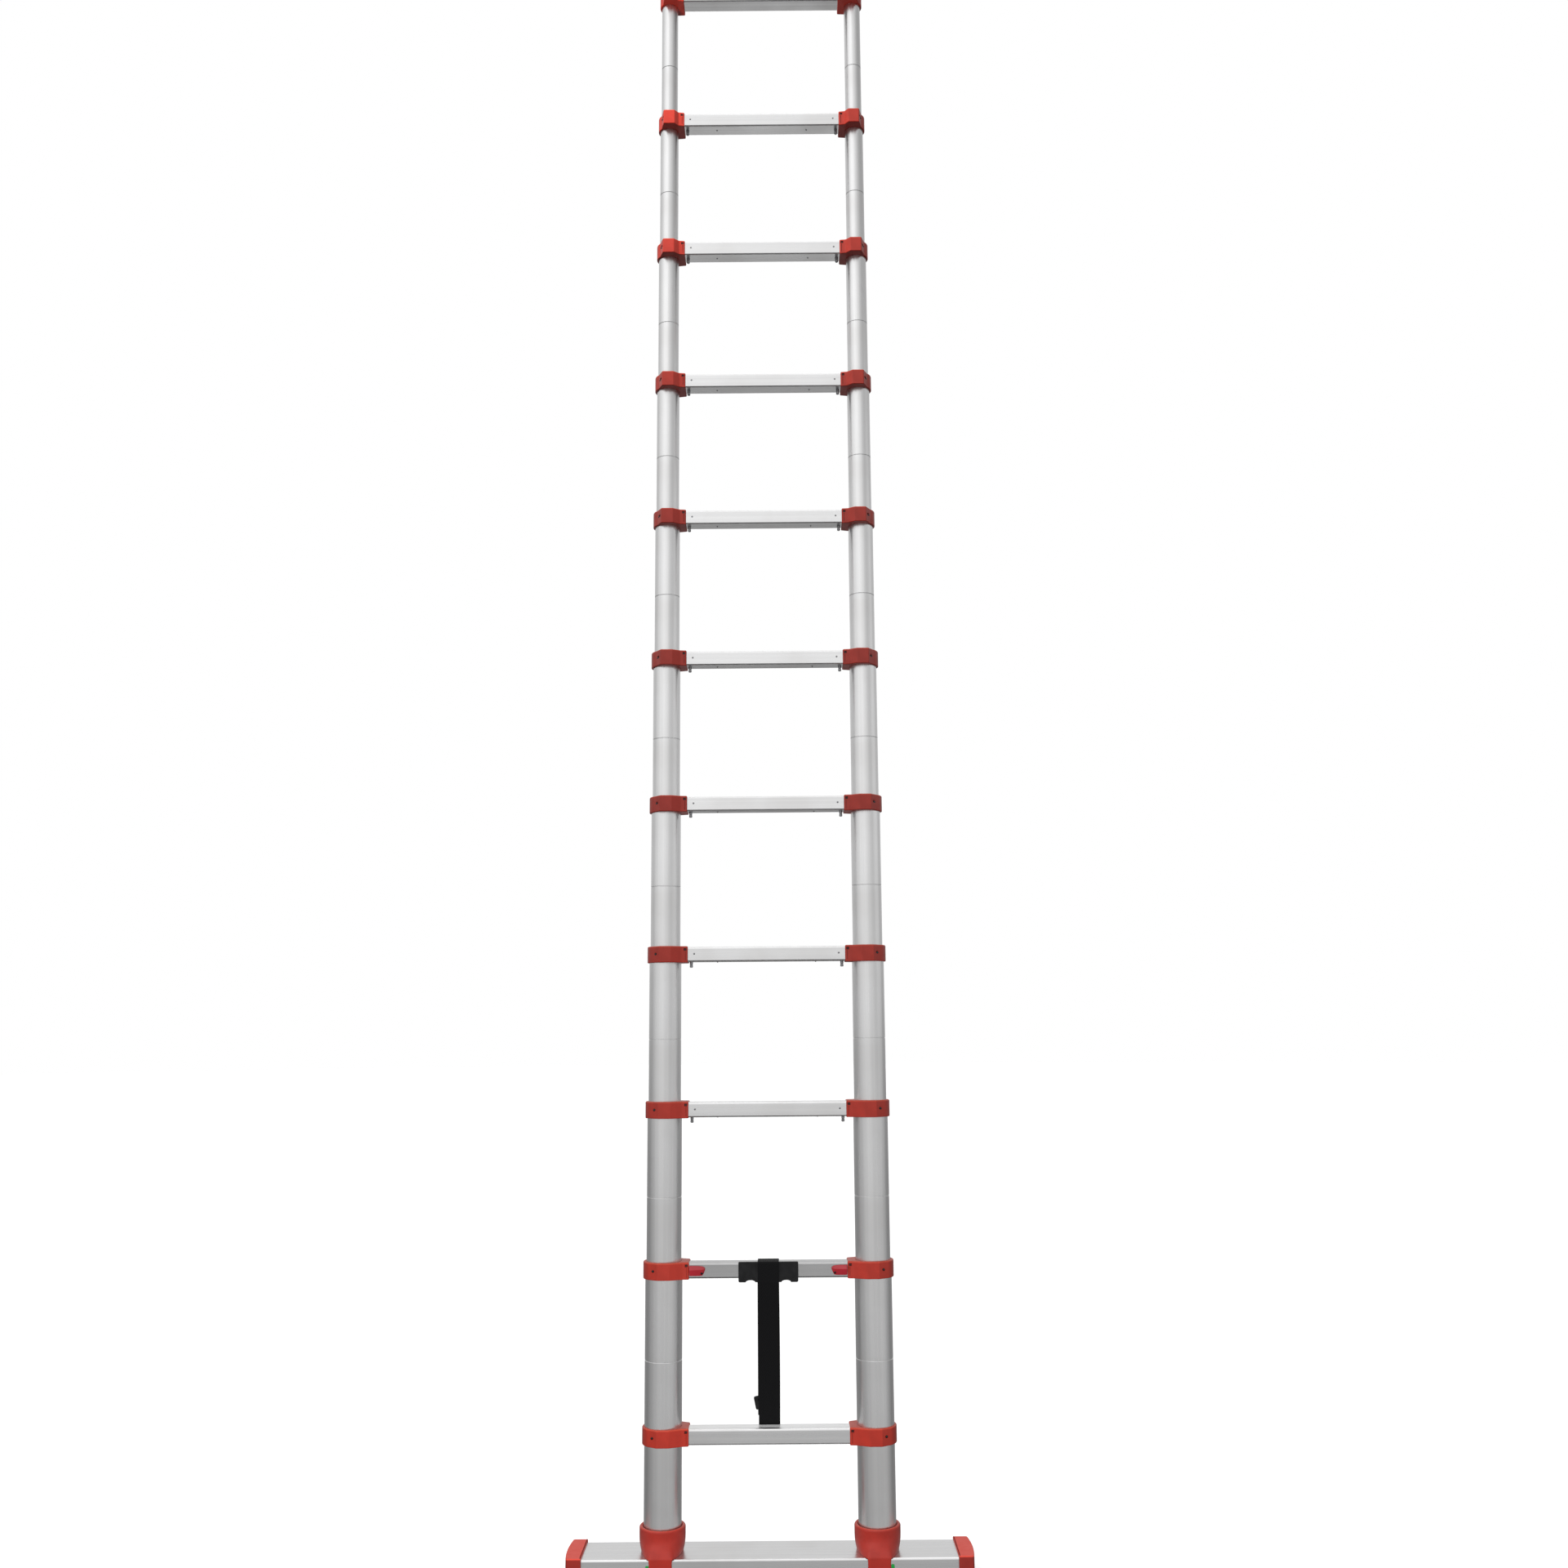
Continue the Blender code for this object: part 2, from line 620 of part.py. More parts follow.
def make_strap_grip(look, parent):
    """A plate on the front of rung 2, with two shallow scallops in its lower edge."""
    half = GRIP_WIDTH / 2
    points = [(half, GRIP_BOTTOM + GRIP_CORNER), (half, GRIP_TOP), (-half, GRIP_TOP)]
    points += [(-half, GRIP_BOTTOM + GRIP_CORNER), (-half + GRIP_CORNER, GRIP_BOTTOM)]
    for centre in (-SCALLOP_CENTRE, SCALLOP_CENTRE):
        for i in range(5):
            turn = math.pi * i / 4
            x = centre - SCALLOP_HALF_WIDTH * math.cos(turn)
            points.append((x, GRIP_BOTTOM + SCALLOP_RISE * math.sin(turn)))
    points.append((half - GRIP_CORNER, GRIP_BOTTOM))
    back = RUNG_FRONT_Y - GAP
    shape = bmesh.new()
    add_prism(shape, points, back, back - GRIP_THICKNESS, "Y")
    return new_piece("strap_grip", shape, look, (0, 0, rung_z(2)), parent)


def make_strap_buckle(look, parent):
    """A frame round the strap's tail, tilted a little."""
    room = STRAP_THICKNESS / 2 + BUCKLE_ROOM
    rim = room + BUCKLE_FACE
    half = BUCKLE_WIDTH / 2
    outer = rectangle((-half, -rim), (half, rim))
    inner = rectangle((-half + BUCKLE_RIM, -room), (half - BUCKLE_RIM, room))
    shape = bmesh.new()
    add_hollow(shape, outer, inner, -BUCKLE_HEIGHT / 2, BUCKLE_HEIGHT / 2, "Z")
    bmesh.ops.rotate(shape, matrix=Matrix.Rotation(BUCKLE_TILT, 3, "Y"), verts=shape.verts)
    place = (TAIL_X, STRAP_REAR_Y, rung_z(1) + BUCKLE_ABOVE_RUNG)
    return new_piece("strap_buckle", shape, look, place, parent)


# ---------------------------------------------------------------- the whole ladder


def main():
    clear_scene()
    aluminium = new_material("anodised_aluminium", (0.72, 0.72, 0.73), 0.32, 1.0)
    red = new_material("red_plastic", (0.52, 0.035, 0.03), 0.42)
    slider_red = new_material("slider_plastic", (0.50, 0.03, 0.06), 0.35)
    steel = new_material("pin_steel", (0.30, 0.30, 0.32), 0.35, 1.0)
    rubber = new_material("foot_rubber", (0.50, 0.035, 0.03), 0.60)
    webbing = new_material("black_webbing", (0.012, 0.012, 0.013), 0.85)
    black = new_material("black_plastic", (0.012, 0.012, 0.013), 0.45)

    frames = {1: new_empty("section_1_frame", 0)}
    for tube in range(2, TUBE_COUNT + 1):
        frames[tube] = new_empty(f"section_{tube}_frame", rung_z(tube + 1))

    stiles = {
        (tube, side): make_stile(tube, side, aluminium, frames[tube])
        for tube in range(1, TUBE_COUNT + 1)
        for side in SIDES
    }
    rungs, collars = {}, {}
    for rung in range(1, RUNG_COUNT + 1):
        frame = frames[tube_under(rung)]
        rungs[rung] = make_rung(rung, aluminium, frame)
        collars[rung] = make_collars(rung, red, frame)
    for rung in range(FIRST_PIN_RUNG, LAST_PIN_RUNG + 1):
        make_release_pins(rung, rungs[rung], steel, frames[tube_under(rung)])

    base = frames[1]
    for side in SIDES:
        make_thumb_slider(side, slider_red, base)
        make_bar_foot(side, rubber, base)
        make_foot_socket(side, red, base)
    lowest = [stiles[1, side] for side in SIDES]
    cut_slider_openings(rungs[SLIDER_RUNG], collars[SLIDER_RUNG], lowest, base)
    make_bar(aluminium, base)
    make_strap(webbing, base)
    make_strap_grip(black, base)
    make_strap_buckle(black, base)


main()
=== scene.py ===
import math

import bmesh
import bpy
from mathutils import Matrix, Vector


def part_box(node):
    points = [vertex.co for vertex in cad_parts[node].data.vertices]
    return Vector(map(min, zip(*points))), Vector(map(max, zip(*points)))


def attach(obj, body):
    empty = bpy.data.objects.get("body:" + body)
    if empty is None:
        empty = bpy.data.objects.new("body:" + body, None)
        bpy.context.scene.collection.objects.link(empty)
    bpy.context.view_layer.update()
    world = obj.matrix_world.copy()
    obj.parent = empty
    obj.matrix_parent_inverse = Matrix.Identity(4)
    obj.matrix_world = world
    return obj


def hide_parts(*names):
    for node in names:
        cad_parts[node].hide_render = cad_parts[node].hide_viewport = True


# Looks for the telescopic extension ladder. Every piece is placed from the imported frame's own boxes.
# Units are metres. X runs across the ladder, -Y is its front, and +Z is up.

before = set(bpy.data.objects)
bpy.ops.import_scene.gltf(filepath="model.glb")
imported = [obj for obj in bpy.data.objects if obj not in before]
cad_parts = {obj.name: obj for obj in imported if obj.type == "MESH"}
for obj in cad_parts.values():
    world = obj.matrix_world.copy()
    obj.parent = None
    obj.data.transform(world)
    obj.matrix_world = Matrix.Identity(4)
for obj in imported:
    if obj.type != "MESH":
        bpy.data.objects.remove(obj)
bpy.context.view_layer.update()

SIDES = {"left": -1, "right": 1}
RUNG_COUNT = 11
TUBE_COUNT = 10
SLIDER_RUNG = 2
PIN_RUNGS = range(3, 11)

# Places read from the frame
LOWEST_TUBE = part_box("stile_1_right")
HALF_PITCH = (LOWEST_TUBE[0].x + LOWEST_TUBE[1].x) / 2
GAP = 0.0003
# How far a cutter goes past the face that it cuts
PAST = 0.004

# Tubes
TUBE_SIDES = 64
TUBE_WALL = 0.0015
TUBE_RIM = 0.0004
GROOVE_ABOVE_RUNG = 0.135
GROOVE_HALF_HEIGHT = 0.0010
GROOVE_DEPTH = 0.0007

# Rungs
RUNG_WALL = 0.0018
RUNG_TOP_RADIUS = 0.0045
RUNG_BOTTOM_RADIUS = 0.003
RUNG_INNER_RADIUS = 0.0025
TREAD_GROOVES = 5
TREAD_PITCH = 0.0042
TREAD_WIDTH = 0.0014
TREAD_DEPTH = 0.0005
RIVET_FROM_TUBE = 0.027
RIVET_RADIUS = 0.0019
RIVET_HEIGHT = 0.0009
STUD_X = 0.097
STUD_RADIUS = 0.0016
STUD_DROP = 0.0016

# Collars
COLLAR_RING = 0.004
COLLAR_LIP = 0.003
COLLAR_LIP_GAP = 0.0005
COLLAR_TOP_EDGE = 0.0024
COLLAR_BOTTOM_EDGE = 0.0014
NOSE_FRONT = 0.040
NOSE_OUTBOARD = 0.010
NOSE_INBOARD = 0.0135
NOSE_ROOT_ANGLE = math.radians(133)
NOSE_ROUND = 0.0028
BLOCK_REACH = 0.0145
BLOCK_FRONT = 0.0285
BLOCK_VALLEY = 0.030
BLOCK_REAR = 0.020
BLOCK_ROUND = 0.0026
BLOCK_POCKET = 0.0085
SCREW_HOLE_RADIUS = 0.0029
SCREW_HOLE_DEPTH = 0.0030
SCREW_HOLE_RISE = 0.001
SCREW_RADIUS = 0.0024
SCREW_SUNK = 0.0020
SCREW_HEAD = 0.0006
WINDOW_WIDTH = 0.0055
WINDOW_HEIGHT = 0.0050
WINDOW_DEPTH = 0.0015
WINDOW_CORNER = 0.0006
WINDOW_FROM_END = 0.0025
WINDOW_FROM_TOP = 0.0040
# Size of the very dark red insert at the floor of each collar's window, which is painted shade
WINDOW_SHADE_CORNER = 0.0009
WINDOW_SHADE_GAP = 0.0002
WINDOW_SHADE_HEIGHT = 0.0007
WINDOW_SHADE_EDGE = 0.0004
SEAM_FROM_END = 0.0045
SEAM_WIDTH = 0.0011
SEAM_DEPTH = 0.0014
SEAM_FROM_BOTTOM = 0.004
SEAM_BELOW_WINDOW = 0.0012

# Release pins
PIN_RADIUS = 0.0031
PIN_FROM_TUBE = 0.0205
PIN_TIP_EDGE = 0.0008
PIN_HOLE_RADIUS = 0.0036
PIN_NECK = (0.0046, 0.0058)
PIN_NECK_DEPTH = 0.0005
PIN_NECK_SLOPE = 0.0004

# Thumb sliders
SLOT_HEIGHT = 0.0066
SLOT_LENGTH = 0.014
SLIDER_FROM_BLOCK = 0.0005
SLIDER_LENGTH = 0.030
SLIDER_EDGE = 0.0007
SLIDER_HOLE_RADIUS = 0.0024
SLIDER_HOLE_SHARE = 0.79
SLIDER_HOLE_DROP = 0.50
SLIDER_HOLE_FLOOR = 0.001
SLIDER_SCREW_RADIUS = 0.0022

# Stabiliser bar and its fittings
BAR_WALL = 0.002
BAR_CORNER = 0.004
BAR_INNER_CORNER = 0.001
CAP_CORNER = 0.0045
CAP_INNER_CORNER = 0.0006
CAP_WALL = 0.006
CAP_BOW = 0.004
CAP_BOW_STEPS = 8
CAP_REACH = 0.0015
CAP_EDGE = 0.0022
CAP_BOTTOM_EDGE = 0.0015
CAP_TREADS = 4
CAP_TREAD_PITCH = 0.006
CAP_TREAD_DEPTH = 0.0014
CAP_TREAD_WIDTH = 0.0024
SOCKET_SIDES = 96
SOCKET_BASE_RADIUS = 0.0394
SOCKET_RIM_RADIUS = 0.0432
SOCKET_APRON = 0.022
SOCKET_FLARE = math.radians(55)
SOCKET_FLOOR = 0.0049
SOCKET_CHAMFER = 0.003
TONGUE_WIDTH = 0.042
TONGUE_RISE = 0.0008
TONGUE_SHOULDER = 0.008
TONGUE_FLARE_RADIUS = 0.012
TONGUE_CORNER = 0.005
TONGUE_EDGE = 0.0014
MARKER_SIZE = (0.006, 0.0016, 0.011)
MARKER_Z = 0.034
MARKER_GAP = 0.0005
MARKER_CORNER = 0.0018
MARKER_EDGE = 0.0006

# Strap, its tail, the grip plate and the buckle
STRAP_THICKNESS = 0.0016
STRAP_ROUND = 0.00072
STRAP_GAP = 0.0004
STRAP_FOOT = -0.011
STRAP_BEND_ABOVE_RUNG = 0.013
STRAP_BEND_RADIUS = 0.010
STRAP_FOLD_RADIUS = 0.003
STRAP_END_BELOW_RUNG = 0.020
STRAP_STEP = 0.006
STRAP_SWAY = 0.0008
STRAP_SWAY_LENGTH = 0.31
TAIL_X = -0.009
TAIL_WIDTH = 0.025
TAIL_DROPS = (0.004, 0.030, 0.050)
TAIL_BEND_RADIUS = 0.02
TAIL_END_ABOVE_RUNG = 0.030
STITCH_ROWS = (0.007, 0.017)
STITCHES = 9
STITCH_PITCH = 0.0025
STITCH_LENGTH = 0.0016
STITCH_RADIUS = 0.0003
STITCH_EDGE = 0.0002
SCALLOP_CENTRE = 0.034
SCALLOP_HALF_WIDTH = 0.009
SCALLOP_RISE = 0.004
SCALLOP_STEPS = 12
GRIP_RISE = 0.003
GRIP_TOP_CORNER = 0.002
GRIP_LOW_CORNER = 0.003
GRIP_EDGE = 0.0010
GRIP_RIM = 0.003
RECESS_FROM_MIDDLE = 0.022
RECESS_ABOVE_EDGE = 0.0075
RECESS_DEPTH = 0.0007
BUCKLE_HALF = (0.019, 0.012)
BUCKLE_CORNER = 0.003
BUCKLE_EDGE = 0.0009
BUCKLE_SLOT_HALF = (0.0116, 0.0022)
BUCKLE_SLOT_RISE = 0.0052
BUCKLE_SLOT_CORNER = 0.0012
BUCKLE_TILT = math.radians(-12)


def tube_under(rung):
    """The tube whose top carries this rung. The two lowest rungs share tube 1."""
    return max(1, rung - 1)


def section_body(tube):
    return "base" if tube == 1 else f"section_{tube}"


def rung_body(rung):
    return section_body(tube_under(rung))


def tube_radius(tube):
    low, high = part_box(f"stile_{tube}_right")
    return (high.y - low.y) / 2 / math.cos(math.pi / 20)


def rung_height(rung):
    """Height of a rung's centre above the floor."""
    low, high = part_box(f"rung_{rung}")
    return (low.z + high.z) / 2


def across(side, inboard):
    """X of a point that lies this far inboard of a stile's axis."""
    return SIDES[side] * (HALF_PITCH - inboard)


# ---------------------------------------------------------------- materials


def rgba(value):
    """A colour with its alpha, from a colour or from one grey value."""
    return (*value, 1) if isinstance(value, tuple) else (value, value, value, 1)


def feed(links, value, socket):
    """Link a node's output to a socket, or set the socket to a plain value."""
    if isinstance(value, bpy.types.NodeSocket):
        links.new(value, socket)
    else:
        socket.default_value = rgba(value) if socket.type == "RGBA" else value


class Look:
    """A Principled material and the few node helpers that build its detail."""

    def __init__(self, name, roughness, metallic=0.0):
        self.material = bpy.data.materials.new(name)
        self.material.use_nodes = True
        self.nodes = self.material.node_tree.nodes
        self.links = self.material.node_tree.links
        self.shader = self.nodes["Principled BSDF"]
        self.put("Roughness", roughness)
        self.put("Metallic", metallic)

    def put(self, socket, value):
        """Give one of the shader's inputs a node's output or a plain value."""
        feed(self.links, value, self.shader.inputs[socket])

    def texture(self, kind, scale, rotation=(0, 0, 0)):
        """A texture in object coordinates that are scaled along each axis and turned."""
        made = self.nodes.new(kind)
        made.inputs["Scale"].default_value = 1.0
        source = self.nodes.new("ShaderNodeTexCoord")
        mapping = self.nodes.new("ShaderNodeMapping")
        mapping.inputs["Scale"].default_value = scale
        mapping.inputs["Rotation"].default_value = rotation
        self.links.new(source.outputs["Object"], mapping.inputs["Vector"])
        self.links.new(mapping.outputs["Vector"], made.inputs["Vector"])
        return made

    def noise(self, scale, detail=2.0):
        made = self.texture("ShaderNodeTexNoise", scale)
        made.inputs["Detail"].default_value = detail
        return made.outputs["Fac"]

    def wave(self, scale, rotation=(0, 0, 0)):
        return self.texture("ShaderNodeTexWave", scale, rotation).outputs["Fac"]

    def ramp(self, factor, low, high, start=0.3, end=0.7):
        """Two colours, or two grey values, blended by a factor."""
        made = self.nodes.new("ShaderNodeValToRGB")
        for element, place, value in zip(made.color_ramp.elements, (start, end), (low, high)):
            element.position = place
            element.color = rgba(value)
        self.links.new(factor, made.inputs["Fac"])
        return made.outputs["Color"]

    def mix(self, factor, first, second, blend="MIX"):
        made = self.nodes.new("ShaderNodeMix")
        made.data_type = "RGBA"
        made.blend_type = blend
        for value, socket in ((factor, 0), (first, 6), (second, 7)):
            feed(self.links, value, made.inputs[socket])
        return made.outputs[2]

    def math(self, operation, *values):
        made = self.nodes.new("ShaderNodeMath")
        made.operation = operation
        for value, socket in zip(values, made.inputs):
            feed(self.links, value, socket)
        return made.outputs[0]

    def height(self):
        """The height above the piece's own origin."""
        source = self.nodes.new("ShaderNodeTexCoord")
        parts = self.nodes.new("ShaderNodeSeparateXYZ")
        self.links.new(source.outputs["Object"], parts.inputs[0])
        return parts.outputs["Z"]

    def bump(self, height, distance, strength=1.0):
        made = self.nodes.new("ShaderNodeBump")
        made.inputs["Strength"].default_value = strength
        made.inputs["Distance"].default_value = distance
        self.links.new(height, made.inputs["Height"])
        self.put("Normal", made.outputs["Normal"])


# Painted highlight, with some rubbed wear, along the lit top edges of the red mouldings: how uneven, how
# wide a fade, how much of it.
# Then the depth and strength of the grain of every moulding.
HIGHLIGHT_AND_WEAR_WOBBLE = 0.0016
HIGHLIGHT_AND_WEAR_FADE = 0.002
HIGHLIGHT_AND_WEAR_SHARE = 0.55
MOULD_GRAIN = (0.00006, 0.5)


def brushed_aluminium(name, along, shade):
    """Satin anodised metal with extrusion lines along one axis."""
    look = Look(name, 0.3, 1.0)

    def stretched(fine, coarse):
        return tuple(coarse if axis == along else fine for axis in "XYZ")

    lines = look.noise(stretched(1400, 3), 3)
    streaks = look.noise(stretched(160, 0.8), 2)
    cloud = look.noise((9, 9, 9), 3)
    dark = (shade * 0.93, shade * 0.93, shade * 0.935)
    light = (shade * 1.02, shade * 1.02, shade * 1.02)
    tone = look.ramp(streaks, dark, light, 0.25, 0.75)
    handled = look.ramp(cloud, (0.95, 0.945, 0.94), (1.0, 1.0, 1.0), 0.35, 0.55)
    look.put("Base Color", look.mix(1.0, tone, handled, "MULTIPLY"))
    look.put("Roughness", look.mix(0.5, look.ramp(lines, 0.22, 0.38), look.ramp(cloud, 0.36, 0.26)))
    look.bump(lines, 0.00002, 0.35)
    return look.material


def moulded_red(name, colour, roughness, lit_edge=None, pale=(1.45, 2.6, 2.2)):
    """Spark-textured nylon, a little uneven in colour, and paler above the height lit_edge from a painted
    highlight with some rubbed wear.
    """
    look = Look(name, roughness)
    grain = look.noise((2600, 2600, 2600), 2)
    patches = look.noise((55, 55, 55), 3)
    deep = tuple(c * 0.88 for c in colour)
    tone = look.ramp(patches, deep, colour, 0.35, 0.65)
    # Painted highlight with some rubbed wear: above lit_edge the red fades towards a paler tone, as if lit
    # from above.
    if lit_edge is not None:
        highlight_and_wear_tone = tuple(min(1, c * times) for c, times in zip(colour, pale))
        uneven_edge_noise = look.noise((240, 240, 500), 3)
        wobble = look.math("MULTIPLY_ADD", uneven_edge_noise, HIGHLIGHT_AND_WEAR_WOBBLE, -HIGHLIGHT_AND_WEAR_WOBBLE / 2)
        place = look.math("ADD", look.height(), wobble)
        rise = look.math("DIVIDE", look.math("SUBTRACT", place, lit_edge), HIGHLIGHT_AND_WEAR_FADE)
        highlight_and_wear = look.ramp(rise, 0.0, HIGHLIGHT_AND_WEAR_SHARE, 0.0, 1.0)
        tone = look.mix(highlight_and_wear, tone, highlight_and_wear_tone)
    look.put("Base Color", tone)
    look.put("Roughness", look.ramp(patches, roughness + 0.06, roughness - 0.05))
    look.bump(grain, *MOULD_GRAIN)
    return look.material


def mottled(name, dark, light, grain, detail, rough, bump, metallic=0.0):
    """A plain material whose tone, gloss and relief all follow one noise."""
    look = Look(name, rough[0], metallic)
    speckle = look.noise(grain, detail)
    look.put("Base Color", look.ramp(speckle, dark, light))
    look.put("Roughness", look.ramp(speckle, *rough))
    look.bump(speckle, *bump)
    return look.material


def speckled_steel(name, dark, light):
    return mottled(name, dark, light, (900, 900, 900), 3, (0.42, 0.25), (0.00003, 0.4), 1.0)


def woven_webbing():
    """Black polyester webbing: cross ribs with a finer twill across them."""
    look = Look("black_woven_webbing", 0.8)
    ribs = look.wave((0, 0, 105))
    twill = look.wave((130, 0, 130), (0, math.radians(20), 0))
    fibres = look.noise((3000, 3000, 3000), 3)
    weave = look.mix(0.5, look.mix(0.45, ribs, twill), fibres)
    look.put("Base Color", look.ramp(weave, (0.003, 0.003, 0.0034), (0.010, 0.010, 0.0105), 0.2, 0.8))
    look.put("Roughness", look.ramp(fibres, 0.72, 0.92))
    look.put("Specular IOR Level", 0.10)
    look.put("Sheen Weight", 0.04)
    look.put("Sheen Roughness", 0.5)
    look.bump(weave, 0.0003, 0.7)
    return look.material


def moulded_black():
    look = Look("black_moulded_plastic", 0.42)
    grain = look.noise((2200, 2200, 2200), 2)
    patches = look.noise((70, 70, 70), 3)
    look.put("Base Color", look.ramp(patches, (0.004, 0.004, 0.0045), (0.009, 0.009, 0.0095)))
    look.put("Roughness", look.ramp(patches, 0.55, 0.42))
    look.put("Specular IOR Level", 0.28)
    look.bump(grain, *MOULD_GRAIN)
    return look.material


def thread():
    dark, light = (0.02, 0.02, 0.022), (0.05, 0.05, 0.052)
    return mottled("black_thread", dark, light, (4000, 4000, 1500), 2, (0.7, 0.7), (0.0001, 0.5))


def marker_green():
    dark, light = (0.005, 0.20, 0.03), (0.01, 0.30, 0.05)
    return mottled("green_moulded_plastic", dark, light, (300, 300, 300), 2, (0.4, 0.4), (0.00005, 0.4))


# ---------------------------------------------------------------- outlines


def circle(radius, sides, centre=(0, 0)):
    turns = [2 * math.pi * i / sides for i in range(sides)]
    return [(centre[0] + radius * math.cos(t), centre[1] + radius * math.sin(t)) for t in turns]


def fillet(corners, steps=6, closed=True):
    """Round the corners of an outline or an open path. Each corner is (a, b, radius)."""
    points = []
    count = len(corners)
    for i, (a, b, radius) in enumerate(corners):
        here = Vector((a, b))
        at_end = not closed and i in (0, count - 1)
        if radius == 0 or at_end:
            points.append((a, b))
            continue
        before = (Vector(corners[i - 1][:2]) - here).normalized()
        after = (Vector(corners[(i + 1) % count][:2]) - here).normalized()
        half = before.angle(after) / 2
        centre = here + (before + after).normalized() * radius / math.sin(half)
        start = here + before * radius / math.tan(half) - centre
        end = here + after * radius / math.tan(half) - centre
        sweep = start.angle(end)
        for k in range(steps + 1):
            t = k / steps
            spoke = start * math.sin((1 - t) * sweep) + end * math.sin(t * sweep)
            points.append(tuple(centre + spoke / math.sin(sweep)))
    return points


def rounded_rectangle(low, high, radius, steps=6):
    places = ((high[0], low[1]), (high[0], high[1]), (low[0], high[1]), (low[0], low[1]))
    return fillet([(a, b, radius) for a, b in places], steps)


def signed_area(outline):
    following = outline[1:] + outline[:1]
    return sum(a[0] * b[1] - b[0] * a[1] for a, b in zip(outline, following)) / 2


def inset(outline, distance):
    """The outline moved inward by a small distance."""
    turn = 1 if signed_area(outline) > 0 else -1
    moved = []
    for i, (a, b) in enumerate(outline):
        here = Vector((a, b))
        runs = (here - Vector(outline[i - 1]), Vector(outline[(i + 1) % len(outline)]) - here)
        first, second = [Vector((-run.y, run.x)).normalized() * turn for run in runs]
        both = first + second
        moved.append(tuple(here + both * (2 * distance / both.length_squared)))
    return moved


# ---------------------------------------------------------------- solids

ON_AXIS = {
    "X": lambda a, b, along: (along, a, b),
    "Y": lambda a, b, along: (a, along, b),
    "Z": lambda a, b, along: (a, b, along),
}


def add_loft(shape, sections, capped=True):
    """Join sections of equal size, with flat ends or in a closed loop."""
    rows = [[shape.verts.new(point) for point in section] for section in sections]
    pairs = list(zip(rows, rows[1:]))
    if capped:
        shape.faces.new(rows[0])
        shape.faces.new(rows[-1])
    else:
        pairs.append((rows[-1], rows[0]))
    for low, high in pairs:
        for i in range(len(low)):
            j = (i + 1) % len(low)
            shape.faces.new((low[i], low[j], high[j], high[i]))


def add_prism(shape, outline, start, end, axis, first_edge=0.0, last_edge=0.0, steps=3):
    """A solid of constant outline along an axis, with rounded ends where an edge radius is given."""
    put = ON_AXIS[axis]
    toward = 1 if end > start else -1
    levels = []
    for place, edge, sign in ((start, first_edge, toward), (end, last_edge, -toward)):
        turns = [math.pi / 2 * k / steps for k in range(steps + 1)] if edge else [math.pi / 2]
        level = [
            (edge * (1 - math.sin(turn)), place + sign * edge * (1 - math.cos(turn)))
            for turn in turns
        ]
        levels += level if place == start else level[::-1]
    add_loft(shape, [[put(a, b, along) for a, b in inset(outline, cut)] for cut, along in levels])


def add_hollow(shape, outer, inner, start, end):
    """A hollow bar along X, open at both ends. Its two outlines may differ in their number of points."""
    walls = []
    for outline in (outer, inner):
        rows = [[shape.verts.new((x, y, z)) for y, z in outline] for x in (start, end)]
        walls.append(rows)
        for i in range(len(outline)):
            j = (i + 1) % len(outline)
            shape.faces.new((rows[0][i], rows[0][j], rows[1][j], rows[1][i]))
    for end_of in (0, 1):
        edges = []
        for rows in walls:
            row = rows[end_of]
            edges += [shape.edges.get((row[i], row[(i + 1) % len(row)])) for i in range(len(row))]
        bmesh.ops.triangle_fill(shape, use_beauty=True, edges=edges)


def add_lathe(shape, profile, sides, centre=(0, 0), closed=False):
    """A turned solid about Z, from (radius, height) pairs. A closed profile makes a ring or a tube."""
    rows = [[(x, y, height) for x, y in circle(radius, sides, centre)] for radius, height in profile]
    add_loft(shape, rows, capped=not closed)


def add_box(shape, low, high):
    corners = [(low[0], low[1]), (high[0], low[1]), (high[0], high[1]), (low[0], high[1])]
    add_loft(shape, [[(x, y, z) for x, y in corners] for z in (low[2], high[2])])


def add_dome(shape, radius, height, place, axis, sides=20):
    """A low round head that rises along -Y or -Z from a flat face."""
    put = ON_AXIS[axis]
    centre = [value for value, name in zip(place, "XYZ") if name != axis]
    base = place["XYZ".index(axis)]
    rows = []
    for k in range(5):
        turn = math.radians(82) * k / 4
        along = base - height * math.sin(turn)
        rows.append([put(a, b, along) for a, b in circle(radius * math.cos(turn), sides, centre)])
    sunk = [put(a, b, base + 0.0003) for a, b in circle(radius, sides, centre)]
    add_loft(shape, [sunk] + rows)


# ---------------------------------------------------------------- pieces


def new_object(name, shape, place=(0, 0, 0)):
    bmesh.ops.recalc_face_normals(shape, faces=shape.faces)
    mesh = bpy.data.meshes.new(name)
    shape.to_mesh(mesh)
    shape.free()
    made = bpy.data.objects.new(name, mesh)
    bpy.context.scene.collection.objects.link(made)
    made.location = place
    return made


def apply_modifiers(piece):
    graph = bpy.context.evaluated_depsgraph_get()
    made = bpy.data.meshes.new_from_object(piece.evaluated_get(graph))
    piece.modifiers.clear()
    piece.data = made


def combine(piece, operation, tools):
    for tool in tools:
        step = piece.modifiers.new(tool.name, "BOOLEAN")
        step.operation = operation
        step.solver = "EXACT"
        step.object = tool
    apply_modifiers(piece)
    for tool in tools:
        bpy.data.objects.remove(tool)


def carve(piece, *tools):
    """Cut the tools' shapes out of a piece."""
    combine(piece, "DIFFERENCE", tools)


def soften(piece, width, segments=2):
    """A small bevel on every sharp edge."""
    step = piece.modifiers.new("soft_edges", "BEVEL")
    step.width = width
    step.segments = segments
    step.limit_method = "ANGLE"
    step.angle_limit = math.radians(35)
    apply_modifiers(piece)


